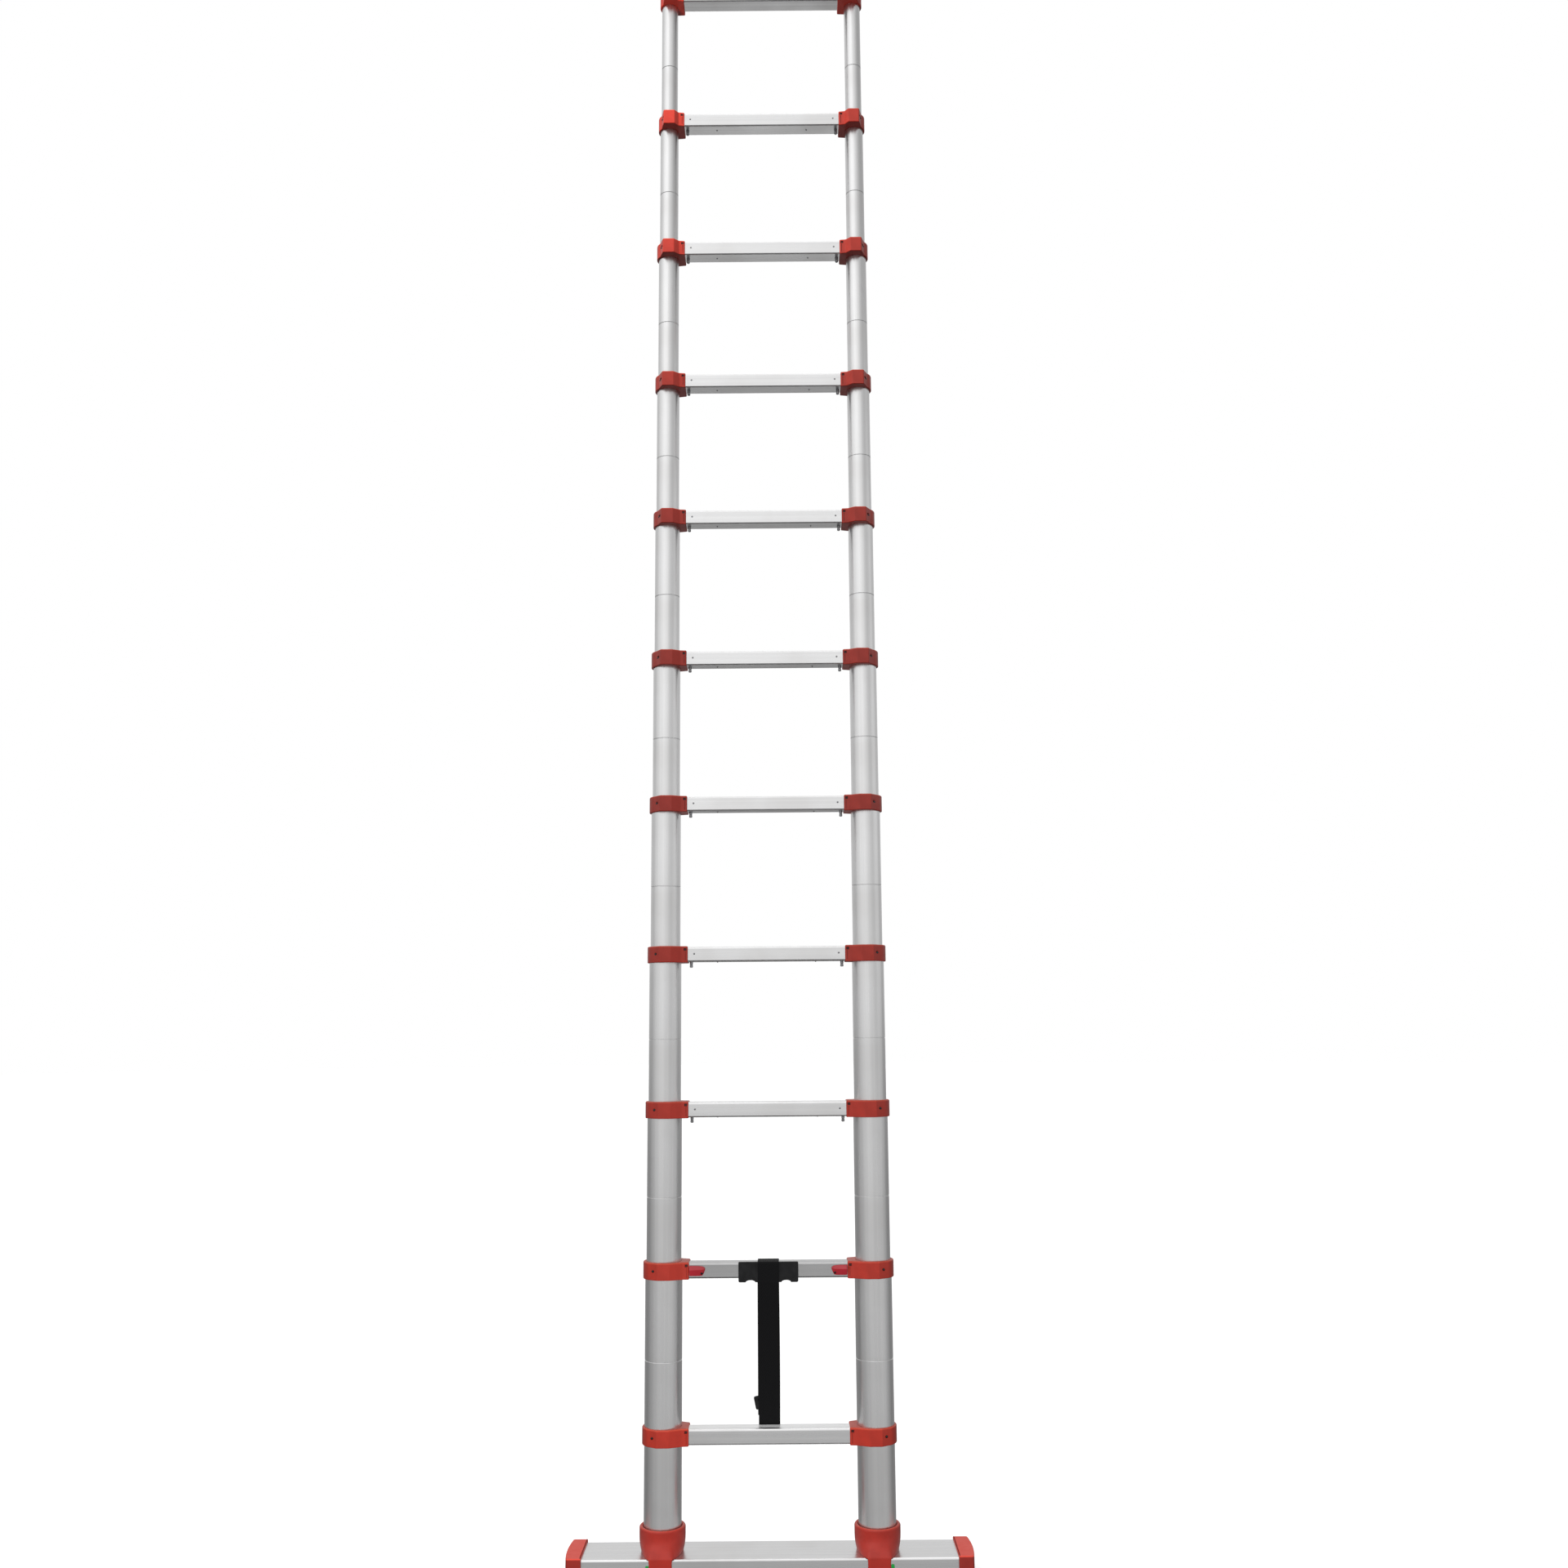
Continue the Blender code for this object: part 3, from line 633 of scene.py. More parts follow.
def finish_piece(piece, look, body, nodes=(), sharp=35):
    """Give a piece its material and shading, hang it on its body's empty, and hide the CAD nodes that it
    stands for.
    """
    piece.data.materials.clear()
    piece.data.materials.append(look)
    piece.data.shade_smooth()
    piece.data.set_sharp_from_angle(angle=math.radians(sharp))
    flat = piece.modifiers.new("flat_faces_stay_flat", "WEIGHTED_NORMAL")
    flat.keep_sharp = True
    apply_modifiers(piece)
    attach(piece, body)
    if nodes:
        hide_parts(*nodes)


def make_tube(tube, side, look):
    """One stile tube with its eased rims and the fine groove round its middle."""
    low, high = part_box(f"stile_{tube}_{side}")
    radius = tube_radius(tube)
    inner = radius - TUBE_WALL
    groove = rung_height(tube) + GROOVE_ABOVE_RUNG - low.z
    length = high.z - low.z
    profile = (
        (radius - TUBE_RIM, 0),
        (radius, TUBE_RIM),
        (radius, groove - GROOVE_HALF_HEIGHT),
        (radius - GROOVE_DEPTH, groove - GROOVE_HALF_HEIGHT / 3),
        (radius - GROOVE_DEPTH, groove + GROOVE_HALF_HEIGHT / 3),
        (radius, groove + GROOVE_HALF_HEIGHT),
        (radius, length - TUBE_RIM),
        (radius - TUBE_RIM, length),
        (inner, length),
        (inner, 0),
    )
    shape = bmesh.new()
    add_lathe(shape, profile, TUBE_SIDES, closed=True)
    made = new_object(f"tube_{tube}_{side}", shape, (SIDES[side] * HALF_PITCH, 0, low.z))
    finish_piece(made, look, section_body(tube), [f"stile_{tube}_{side}"], 25)


def tread_outline(low, high):
    """Section of a rung as (y, z), with fine grooves along its top."""
    corners = [(high.y, low.z, RUNG_BOTTOM_RADIUS), (high.y, high.z, RUNG_TOP_RADIUS)]
    middle = (low.y + high.y) / 2
    for i in range(TREAD_GROOVES):
        centre = middle + (TREAD_GROOVES // 2 - i) * TREAD_PITCH
        for offset, drop in ((1, 0), (0.5, TREAD_DEPTH), (-0.5, TREAD_DEPTH), (-1, 0)):
            corners.append((centre + offset * TREAD_WIDTH / 2, high.z - drop, 0))
    corners += [(low.y, high.z, RUNG_TOP_RADIUS), (low.y, low.z, RUNG_BOTTOM_RADIUS)]
    return fillet(corners, 8)


def make_rung(rung, look):
    """A hollow rung with a ribbed tread, and its openings for the pins or the sliders."""
    low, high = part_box(f"rung_{rung}")
    outer = tread_outline(low, high)
    inner_high = (high.y - RUNG_WALL, high.z - RUNG_WALL - TREAD_DEPTH)
    inner = rounded_rectangle((low.y + RUNG_WALL, low.z + RUNG_WALL), inner_high, RUNG_INNER_RADIUS, 2)
    shape = bmesh.new()
    add_hollow(shape, outer, inner, low.x, high.x)
    made = new_object(f"rung_tread_{rung}", shape)
    if rung in PIN_RUNGS:
        holes = bmesh.new()
        spread = HALF_PITCH - tube_radius(tube_under(rung)) - PIN_FROM_TUBE
        middle = (low.y + high.y) / 2
        for sign in SIDES.values():
            outline = circle(PIN_HOLE_RADIUS, 24, (sign * spread, middle))
            add_prism(holes, outline, low.z - PAST, low.z + PAST, "Z")
        carve(made, new_object("pin_holes", holes))
    elif rung == SLIDER_RUNG:
        slots = bmesh.new()
        half = Vector((SLOT_LENGTH / 2, PAST, SLOT_HEIGHT / 2))
        for side in SIDES:
            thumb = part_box(f"thumb_slider_{side}")
            centre = Vector(((thumb[0].x + thumb[1].x) / 2, low.y, (low.z + high.z) / 2))
            add_box(slots, centre - half, centre + half)
        carve(made, new_object("slider_slots", slots))
    finish_piece(made, look, rung_body(rung), [f"rung_{rung}"], 30)


def make_rung_fixings(rung, steel):
    """Two rivets in a rung's front and two small studs under it."""
    low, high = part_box(f"rung_{rung}")
    spread = HALF_PITCH - tube_radius(tube_under(rung)) - RIVET_FROM_TUBE
    rivets, studs = bmesh.new(), bmesh.new()
    for sign in SIDES.values():
        place = (sign * spread, low.y, (low.z + high.z) / 2 + 0.001)
        add_dome(rivets, RIVET_RADIUS, RIVET_HEIGHT, place, "Y")
        add_dome(studs, STUD_RADIUS, STUD_DROP, (sign * STUD_X, (low.y + high.y) / 2, low.z), "Z")
    body = rung_body(rung)
    finish_piece(new_object(f"rung_rivets_{rung}", rivets), steel, body)
    finish_piece(new_object(f"rung_studs_{rung}", studs), steel, body)


def collar_outline(radius, side):
    """Plan of a collar as (x, y) about its tube's axis: ring, nose with a flat front, and block."""
    ring = radius + COLLAR_RING
    end = radius + BLOCK_REACH
    rear_corner = math.atan2(-BLOCK_REAR, end)
    first = rear_corner - math.acos(ring / math.hypot(end, BLOCK_REAR))
    last = NOSE_ROOT_ANGLE - 2 * math.pi
    steps = 40
    turns = [first + (last - first) * i / steps for i in range(steps + 1)]
    corners = [(ring * math.cos(turn), ring * math.sin(turn), 0) for turn in turns]
    corners += [(-NOSE_OUTBOARD, NOSE_FRONT, NOSE_ROUND), (NOSE_INBOARD, NOSE_FRONT, NOSE_ROUND)]
    corners += [(radius + 0.002, BLOCK_VALLEY, NOSE_ROUND), (end, BLOCK_FRONT, BLOCK_ROUND)]
    corners += [(end, -BLOCK_REAR, BLOCK_ROUND)]
    return [(-SIDES[side] * inboard, -forward) for inboard, forward in fillet(corners)]


def screw_hole_place(radius):
    """A point on the sloping outer side of the nose, as (inboard, forward)."""
    ring = radius + COLLAR_RING
    root = (ring * math.cos(NOSE_ROOT_ANGLE), ring * math.sin(NOSE_ROOT_ANGLE))
    corner = (-NOSE_OUTBOARD, NOSE_FRONT)
    return [(near + far) / 2 for near, far in zip(corner, root)]


def window_corners(radius, side, half):
    """Lowest and highest (x, z) of the small window in a collar's block, about the tube's axis."""
    end = radius + BLOCK_REACH - WINDOW_FROM_END
    edges = sorted((-SIDES[side] * (end - WINDOW_WIDTH), -SIDES[side] * end))
    top = half - WINDOW_FROM_TOP
    return (edges[0], top - WINDOW_HEIGHT), (edges[1], top)


def collar_cutter(rung, side, half):
    """Everything that is hollow in a collar, about its tube's axis."""
    radius = tube_radius(tube_under(rung))
    bore = radius + GAP
    lip = tube_radius(min(rung, TUBE_COUNT)) + COLLAR_LIP_GAP
    shoulder = half - COLLAR_LIP
    voids = bmesh.new()
    if rung == 1:
        levels = [(bore, -half - PAST), (bore, half + PAST)]
    elif rung == RUNG_COUNT:
        levels = [(bore, -half - PAST), (bore, shoulder)]
    else:
        levels = [(bore, -half - PAST), (bore, shoulder), (lip, shoulder), (lip, half + PAST)]
    add_lathe(voids, levels, TUBE_SIDES)

    inward = -SIDES[side]
    rung_low, rung_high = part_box(f"rung_{rung}")
    rise = (rung_high.z - rung_low.z) / 2 + GAP
    end = radius + BLOCK_REACH
    pocket = sorted((inward * (end - BLOCK_POCKET), inward * (end + PAST)))
    add_box(voids, (pocket[0], rung_low.y - GAP, -rise), (pocket[1], rung_high.y + GAP, rise))

    inboard, forward = screw_hole_place(radius)
    outline = circle(SCREW_HOLE_RADIUS, 24, (inward * inboard, SCREW_HOLE_RISE))
    add_prism(voids, outline, -forward + SCREW_HOLE_DEPTH, -NOSE_FRONT - PAST, "Y")

    front = -BLOCK_FRONT
    window_low, window_high = window_corners(radius, side, half)
    outline = rounded_rectangle(window_low, window_high, WINDOW_CORNER, 3)
    add_prism(voids, outline, front + WINDOW_DEPTH, front - PAST, "Y")

    seam = inward * (end - SEAM_FROM_END)
    low = (seam - SEAM_WIDTH / 2, front - PAST, -half + SEAM_FROM_BOTTOM)
    top = window_low[1] - SEAM_BELOW_WINDOW
    add_box(voids, low, (seam + SEAM_WIDTH / 2, front + SEAM_DEPTH, top))
    return new_object("collar_voids", voids)


def make_collar(rung, side, red, hole_shade_steel, window_shade_red):
    """A collar round a tube's top, with the sunk screw that fixes it, painted near-black as the shade in its
    hole, and a very dark red insert in its window as painted shade.
    """
    radius = tube_radius(tube_under(rung))
    low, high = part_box(f"collars_{rung}")
    half = (high.z - low.z) / 2
    place = (SIDES[side] * HALF_PITCH, 0, rung_height(rung))
    body = rung_body(rung)
    shape = bmesh.new()
    outline = collar_outline(radius, side)
    add_prism(shape, outline, -half, half, "Z", COLLAR_BOTTOM_EDGE, COLLAR_TOP_EDGE, 4)
    made = new_object(f"collar_{rung}_{side}", shape)
    carve(made, collar_cutter(rung, side, half))
    made.location = place
    finish_piece(made, red, body, [f"collars_{rung}"], 30)

    # Painted shade: the screw head is near-black so that its hole reads as dark.
    inboard, forward = screw_hole_place(radius)
    screw = bmesh.new()
    head = (-SIDES[side] * inboard, -forward + SCREW_SUNK + SCREW_HEAD, 0)
    add_dome(screw, SCREW_RADIUS, SCREW_HEAD, head, "Y")
    made = new_object(f"collar_screw_{rung}_{side}", screw, place)
    finish_piece(made, hole_shade_steel, body)

    # Painted shade: a very dark red insert at the floor of the window stands in for the shadow inside it.
    window_low, window_high = window_corners(radius, side, half)
    outline = inset(rounded_rectangle(window_low, window_high, WINDOW_SHADE_CORNER, 3), WINDOW_SHADE_GAP)
    window_shade = bmesh.new()
    floor = -BLOCK_FRONT + WINDOW_DEPTH
    add_prism(window_shade, outline, floor + GAP, floor - WINDOW_SHADE_HEIGHT, "Y", 0.0, WINDOW_SHADE_EDGE, 2)
    made = new_object(f"collar_window_shade_{rung}_{side}", window_shade, place)
    finish_piece(made, window_shade_red, body)


def make_release_pin(rung, side, steel):
    low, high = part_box(f"release_pins_{rung}")
    middle = (low.y + high.y) / 2
    inboard = tube_radius(tube_under(rung)) + PIN_FROM_TUBE
    neck_low, neck_high = PIN_NECK
    profile = (
        (PIN_RADIUS - PIN_TIP_EDGE, 0),
        (PIN_RADIUS, PIN_TIP_EDGE),
        (PIN_RADIUS, neck_low - PIN_NECK_SLOPE),
        (PIN_RADIUS - PIN_NECK_DEPTH, neck_low),
        (PIN_RADIUS - PIN_NECK_DEPTH, neck_high),
        (PIN_RADIUS, neck_high + PIN_NECK_SLOPE),
        (PIN_RADIUS, high.z - low.z),
    )
    shape = bmesh.new()
    add_lathe(shape, profile, 28)
    made = new_object(f"release_pin_{rung}_{side}", shape, (across(side, inboard), middle, low.z))
    node = f"release_pins_{rung}"
    finish_piece(made, steel, f"{node}_body", [node])


# Plan of a thumb slider from its collar to its tip: share of the length, lower and upper edge as shares
# of the half height, height of the ridge, and depth as a share of the full depth
SLIDER_STATIONS = (
    (0.00, -0.94, 0.96, 0.20, 0.82),
    (0.10, -0.98, 0.99, 0.20, 0.96),
    (0.45, -0.98, 0.97, 0.22, 1.00),
    (0.68, -0.96, 0.92, 0.24, 0.96),
    (0.82, -0.90, 0.86, 0.27, 0.88),
    (0.89, -0.60, 0.78, 0.30, 0.78),
    (0.95, -0.22, 0.68, 0.32, 0.64),
    (1.00, 0.12, 0.54, 0.33, 0.42),
)


def make_thumb_slider(side, look, hole_shade_steel):
    """A ridged thumb piece that tapers to a rounded tip, with a screw painted near-black as the shade of its
    hole, low near its tip.
    """
    node = f"thumb_slider_{side}"
    low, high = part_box(node)
    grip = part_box(f"rung_{SLIDER_RUNG}")[0].y - GAP
    depth = grip - low.y
    first = tube_radius(1) + BLOCK_REACH + SLIDER_FROM_BLOCK
    half = (high.z - low.z) / 2
    sections = []
    for share, bottom, top, ridge, deep in SLIDER_STATIONS:
        x = across(side, first + share * SLIDER_LENGTH)
        reach = grip - depth * deep
        line = (
            (grip, bottom * half),
            (grip - depth * deep * 0.26, bottom * half),
            (grip - depth * deep * 0.44, (bottom * 0.80 + ridge * 0.20) * half),
            (reach, (ridge - 0.07) * half),
            (reach, (ridge + 0.07) * half),
            (grip - depth * deep * 0.50, (top * 0.76 + ridge * 0.24) * half),
            (grip - depth * deep * 0.28, top * half),
            (grip, top * half),
        )
        sections.append([(x, y, rung_height(SLIDER_RUNG) + z) for y, z in line])
    shape = bmesh.new()
    add_loft(shape, sections)
    made = new_object(f"thumb_piece_{side}", shape)
    hole = bmesh.new()
    x = across(side, first + SLIDER_HOLE_SHARE * SLIDER_LENGTH)
    z = rung_height(SLIDER_RUNG) - SLIDER_HOLE_DROP * half
    floor = grip - SLIDER_HOLE_FLOOR
    add_prism(hole, circle(SLIDER_HOLE_RADIUS, 20, (x, z)), floor, low.y - PAST, "Y")
    carve(made, new_object("slider_hole", hole))
    soften(made, SLIDER_EDGE, 3)
    finish_piece(made, look, f"{node}_body", [node], 50)

    # Painted shade: the screw in the slider's hole is near-black so that the hole reads as dark.
    screw = bmesh.new()
    add_dome(screw, SLIDER_SCREW_RADIUS, SCREW_HEAD, (x, floor - SCREW_HEAD, z), "Y")
    finish_piece(new_object(f"thumb_screw_{side}", screw), hole_shade_steel, f"{node}_body")


# ---------------------------------------------------------------- bar, caps and sockets


def make_bar(look):
    low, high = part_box("stabiliser_bar")
    outer = rounded_rectangle((low.y, low.z), (high.y, high.z), BAR_CORNER)
    inner_low = (low.y + BAR_WALL, low.z + BAR_WALL)
    inner = rounded_rectangle(inner_low, (high.y - BAR_WALL, high.z - BAR_WALL), BAR_INNER_CORNER)
    shape = bmesh.new()
    add_hollow(shape, outer, inner, low.x, high.x)
    made = new_object("base_beam", shape)
    finish_piece(made, look, "base", ["stabiliser_bar"], 30)


def cap_plan(inner_x, outer_x, front, rear):
    """Plan of a cap as (x, y): square where it meets the bar, and bowed out at its end."""
    sign = 1 if outer_x > inner_x else -1
    middle, half = (front + rear) / 2, (rear - front) / 2
    corners = [(inner_x, rear, CAP_INNER_CORNER), (inner_x, front, CAP_INNER_CORNER)]
    for i in range(CAP_BOW_STEPS + 1):
        share = 2 * i / CAP_BOW_STEPS - 1
        bow = CAP_REACH - CAP_BOW * share ** 2
        corners.append((outer_x + sign * bow, middle + half * share, CAP_CORNER if abs(share) == 1 else 0))
    return fillet(corners)


def make_cap(side, look):
    """A cap over the bar's end, hollow inside, with treads cut across its underside."""
    low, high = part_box(f"bar_foot_{side}")
    bar_low, bar_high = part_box("stabiliser_bar")
    sign = SIDES[side]
    outer_x, inner_x = (high.x, low.x) if sign > 0 else (low.x, high.x)
    outline = cap_plan(inner_x, outer_x, low.y, high.y)
    shape = bmesh.new()
    add_prism(shape, outline, low.z, high.z, "Z", CAP_BOTTOM_EDGE, CAP_EDGE, 4)
    made = new_object(f"bar_cap_{side}", shape)

    voids = bmesh.new()
    hollow_high = (bar_high.y + GAP, bar_high.z + GAP)
    hollow = rounded_rectangle((bar_low.y - GAP, bar_low.z - GAP), hollow_high, BAR_CORNER, 3)
    add_prism(voids, hollow, outer_x - sign * CAP_WALL, inner_x - sign * PAST, "X")
    treads = bmesh.new()
    for i in range(1, CAP_TREADS + 1):
        x = inner_x + sign * i * CAP_TREAD_PITCH
        ends = sorted((x, x + sign * CAP_TREAD_WIDTH))
        add_box(treads, (ends[0], low.y - PAST, -PAST), (ends[1], high.y + PAST, CAP_TREAD_DEPTH))
    carve(made, new_object("cap_hollow", voids), new_object("cap_treads", treads))
    finish_piece(made, look, "base", [f"bar_foot_{side}"], 30)


def shield_radius(turn, reach):
    """Distance from a socket's axis to the edge of its saddle on the bar, in one direction."""
    off_front = abs(math.atan2(math.cos(turn), abs(math.sin(turn))))
    flank = math.atan2(SOCKET_APRON, reach)
    if off_front < flank:
        return reach / math.cos(off_front)
    fade = min(1.0, (off_front - flank) / SOCKET_FLARE)
    return SOCKET_BASE_RADIUS + (math.hypot(reach, SOCKET_APRON) - SOCKET_BASE_RADIUS) * (1 - fade) ** 2


def make_socket(side, look):
    """A cup for the lowest tube that spreads over the bar and runs down it as a tongue, front and back."""
    low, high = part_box(f"foot_socket_{side}")
    bar_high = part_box("stabiliser_bar")[1]
    base = bar_high.z + GAP
    reach = high.y
    shape = bmesh.new()
    # Height above the bar, share of the spread saddle, and how far the wall leans out
    levels = (
        (0.0000, 1.00, 0.0000),
        (0.0012, 0.99, 0.0001),
        (0.0030, 0.93, 0.0004),
        (0.0055, 0.80, 0.0010),
        (0.0085, 0.62, 0.0017),
        (0.0120, 0.42, 0.0024),
        (0.0160, 0.24, 0.0030),
        (0.0205, 0.10, 0.0034),
        (0.0255, 0.02, 0.0036),
        (0.0310, 0.00, 0.0037),
    )
    rows = []
    for rise, spread, lean in levels:
        row = []
        for i in range(SOCKET_SIDES):
            turn = 2 * math.pi * i / SOCKET_SIDES
            shield = shield_radius(turn, reach)
            radius = SOCKET_BASE_RADIUS + lean + (shield - SOCKET_BASE_RADIUS) * spread
            row.append((radius * math.cos(turn), radius * math.sin(turn), base + rise))
        rows.append(row)
    rim = SOCKET_RIM_RADIUS
    turned = (
        (rim - 0.0001, high.z - 0.0044),
        (rim, high.z - 0.0032),
        (rim - 0.0004, high.z - 0.0018),
        (rim - 0.0013, high.z - 0.0006),
        (rim - 0.0024, high.z),
        (rim - 0.0036, high.z - 0.0003),
    )
    for radius, height in turned:
        rows.append([(x, y, height) for x, y in circle(radius, SOCKET_SIDES)])
    add_loft(shape, rows)

    half = TONGUE_WIDTH / 2
    crown = base + TONGUE_RISE
    shoulder = crown - TONGUE_SHOULDER
    corners = [(half, low.z, TONGUE_CORNER), (half, shoulder, TONGUE_FLARE_RADIUS), (SOCKET_APRON, crown, 0)]
    corners += [(-a, b, radius) for a, b, radius in reversed(corners)]
    face = bar_high.y + GAP
    tongues = []
    for front in (-1, 1):
        tongue = bmesh.new()
        add_prism(tongue, fillet(corners), front * face, front * reach, "Y", 0.0, TONGUE_EDGE)
        tongues.append(new_object("tongue", tongue))
    made = new_object(f"tube_socket_{side}", shape)
    combine(made, "UNION", tongues)

    bore = bmesh.new()
    radius = tube_radius(1) + GAP
    chamfer = ((radius, high.z - SOCKET_CHAMFER), (radius + PAST, high.z + PAST))
    add_lathe(bore, ((radius, base + SOCKET_FLOOR), *chamfer), SOCKET_SIDES)
    carve(made, new_object("socket_bore", bore))
    made.location = (SIDES[side] * HALF_PITCH, 0, 0)
    finish_piece(made, look, "base", [f"foot_socket_{side}"], 40)


def make_marker(side, look):
    """A small green lock marker beside the tongue, on the bar's front."""
    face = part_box("stabiliser_bar")[0].y
    width, depth, height = MARKER_SIZE
    centre = SIDES[side] * (HALF_PITCH + TONGUE_WIDTH / 2 + MARKER_GAP + width / 2)
    low = (centre - width / 2, MARKER_Z - height / 2)
    outline = rounded_rectangle(low, (centre + width / 2, MARKER_Z + height / 2), MARKER_CORNER)
    shape = bmesh.new()
    add_prism(shape, outline, face + MARKER_GAP, face - depth, "Y", 0.0, MARKER_EDGE)
    made = new_object(f"lock_marker_{side}", shape)
    finish_piece(made, look, "base")


# ---------------------------------------------------------------- strap, grip plate and buckle


def add_band(shape, route, width, sway=0.0, centre_x=0.0):
    """Webbing of even thickness along a (y, z) route, with rounded edges and a slight sideways sway."""
    half = (width / 2, STRAP_THICKNESS / 2)
    section = rounded_rectangle((-half[0], -half[1]), half, STRAP_ROUND, 3)
    section = spread_across(section, width)
    rows = []
    for i, (y, z) in enumerate(route):
        before = Vector(route[max(i - 1, 0)])
        after = Vector(route[min(i + 1, len(route) - 1)])
        run = (after - before).normalized()
        normal = Vector((-run.y, run.x))
        shift = centre_x + sway * math.sin(math.pi * (z - route[0][1]) / STRAP_SWAY_LENGTH)
        rows.append([(shift + a, y + normal.x * b, z + normal.y * b) for a, b in section])
    add_loft(shape, rows)


def between(start, end, count):
    """Points at even steps from one place to another, without the first and with the last."""
    shares = [k / count for k in range(1, count + 1)]
    return [tuple(a + (b - a) * share for a, b in zip(start, end)) for share in shares]


def spread_across(section, width, steps=8):
    """Extra points along the two long sides of a band's section."""
    points = []
    for i, (a, b) in enumerate(section):
        points.append((a, b))
        following = section[(i + 1) % len(section)]
        if abs(following[0] - a) > width / 2:
            points += between((a, b), following, steps)[:-1]
    return points


def densify(route):
    """Split long runs so that the band can bend and sway."""
    points = [route[0]]
    for a, b in zip(route, route[1:]):
        points += between(a, b, max(1, math.ceil(math.dist(a, b) / STRAP_STEP)))
    return points


def make_strap(webbing, sewing):
    """The wide strap, its narrow tail behind, and the stitches that hold them together."""
    strap_low, strap_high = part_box("strap")
    lower, upper = rung_height(1), rung_height(2)
    rung_low, rung_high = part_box("rung_2")
    grip_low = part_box("strap_grip")[0]
    half = STRAP_THICKNESS / 2
    rear = rung_high.y + STRAP_GAP + half
    front = grip_low.y - STRAP_GAP - half
    over = rung_high.z + STRAP_GAP + half
    width = strap_high.x - strap_low.x
    corners = [
        (rear, lower + STRAP_FOOT, 0),
        (rear, lower + STRAP_BEND_ABOVE_RUNG, STRAP_BEND_RADIUS),
        (front, grip_low.z, STRAP_BEND_RADIUS),
        (front, over, STRAP_FOLD_RADIUS),
        (rear, over, STRAP_FOLD_RADIUS),
        (rear, upper - STRAP_END_BELOW_RUNG, 0),
    ]
    shape = bmesh.new()
    add_band(shape, densify(fillet(corners, closed=False)), width, STRAP_SWAY)
    made = new_object("webbing_band", shape)
    finish_piece(made, webbing, "base", ["strap"], 60)

    behind = rear + STRAP_THICKNESS
    top, bend, end = (upper - drop for drop in TAIL_DROPS)
    corners = [
        (behind, top, 0),
        (behind, bend, TAIL_BEND_RADIUS),
        (rear, end, TAIL_BEND_RADIUS),
        (rear, lower + TAIL_END_ABOVE_RUNG, 0),
    ]
    shape = bmesh.new()
    add_band(shape, densify(fillet(corners, 5, closed=False)), TAIL_WIDTH, centre_x=TAIL_X)
    made = new_object("webbing_tail", shape)
    finish_piece(made, webbing, "base", sharp=60)

    shape = bmesh.new()
    reach = STITCH_LENGTH / 2
    for row in STITCH_ROWS:
        outline = circle(STITCH_RADIUS, 8, (behind + half, upper - row))
        for i in range(STITCHES):
            x = TAIL_X + (i - STITCHES // 2) * STITCH_PITCH
            add_prism(shape, outline, x - reach, x + reach, "X", STITCH_EDGE, STITCH_EDGE, 2)
    finish_piece(new_object("strap_stitches", shape), sewing, "base")


def make_grip_plate(look):
    """A plate on the front of rung 2, with a raised rim and two scallops in its lower edge."""
    low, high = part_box("strap_grip")
    half = high.x
    top = high.z + GRIP_RISE
    corners = [(half, low.z, GRIP_LOW_CORNER), (half, top, GRIP_TOP_CORNER)]
    corners += [(-a, b, radius) for a, b, radius in reversed(corners)]
    for centre in (-SCALLOP_CENTRE, SCALLOP_CENTRE):
        for i in range(SCALLOP_STEPS + 1):
            turn = math.pi * i / SCALLOP_STEPS
            x = centre - SCALLOP_HALF_WIDTH * math.cos(turn)
            corners.append((x, low.z + SCALLOP_RISE * math.sin(turn), 0))
    shape = bmesh.new()
    add_prism(shape, fillet(corners, 4), high.y, low.y, "Y", 0.0, GRIP_EDGE)
    made = new_object("grip_plate", shape)
    recess = bmesh.new()
    for sign in SIDES.values():
        ends = sorted((sign * RECESS_FROM_MIDDLE, sign * (half - GRIP_RIM)))
        corner = (ends[0], low.z + RECESS_ABOVE_EDGE)
        panel = rounded_rectangle(corner, (ends[1], top - GRIP_RIM), GRIP_TOP_CORNER, 4)
        add_prism(recess, panel, low.y - PAST, low.y + RECESS_DEPTH, "Y")
    carve(made, new_object("grip_recess", recess))
    finish_piece(made, look, "base", ["strap_grip"], 30)


def make_buckle(look):
    """A flat ladder-lock frame on the tail, tilted a little, with its bars across."""
    low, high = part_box("strap_buckle")
    depth = (high.y - low.y) / 2
    width, height = BUCKLE_HALF
    shape = bmesh.new()
    outline = rounded_rectangle((-width, -height), (width, height), BUCKLE_CORNER)
    add_prism(shape, outline, -depth, depth, "Y", BUCKLE_EDGE, BUCKLE_EDGE)
    made = new_object("tail_buckle", shape)
    slots = bmesh.new()
    width, rise = BUCKLE_SLOT_HALF
    for middle in (-BUCKLE_SLOT_RISE, BUCKLE_SLOT_RISE):
        outline = rounded_rectangle((-width, middle - rise), (width, middle + rise), BUCKLE_SLOT_CORNER, 4)
        add_prism(slots, outline, -depth - PAST, depth + PAST, "Y")
    room = bmesh.new()
    corner = Vector((width, STRAP_THICKNESS / 2 + STRAP_GAP, height + PAST))
    add_box(room, -corner, corner)
    carve(made, new_object("slots", slots), new_object("room", room))
    made.data.transform(Matrix.Rotation(BUCKLE_TILT, 4, "Y"))
    made.location = (low + high) / 2
    finish_piece(made, look, "base", ["strap_buckle"], 35)


# ---------------------------------------------------------------- stage


FLOOR_RADIUS = 40.0
FLOOR_THICKNESS = 0.02
FLOOR_GREY = 0.80
FLOOR_GLOW = 0.42


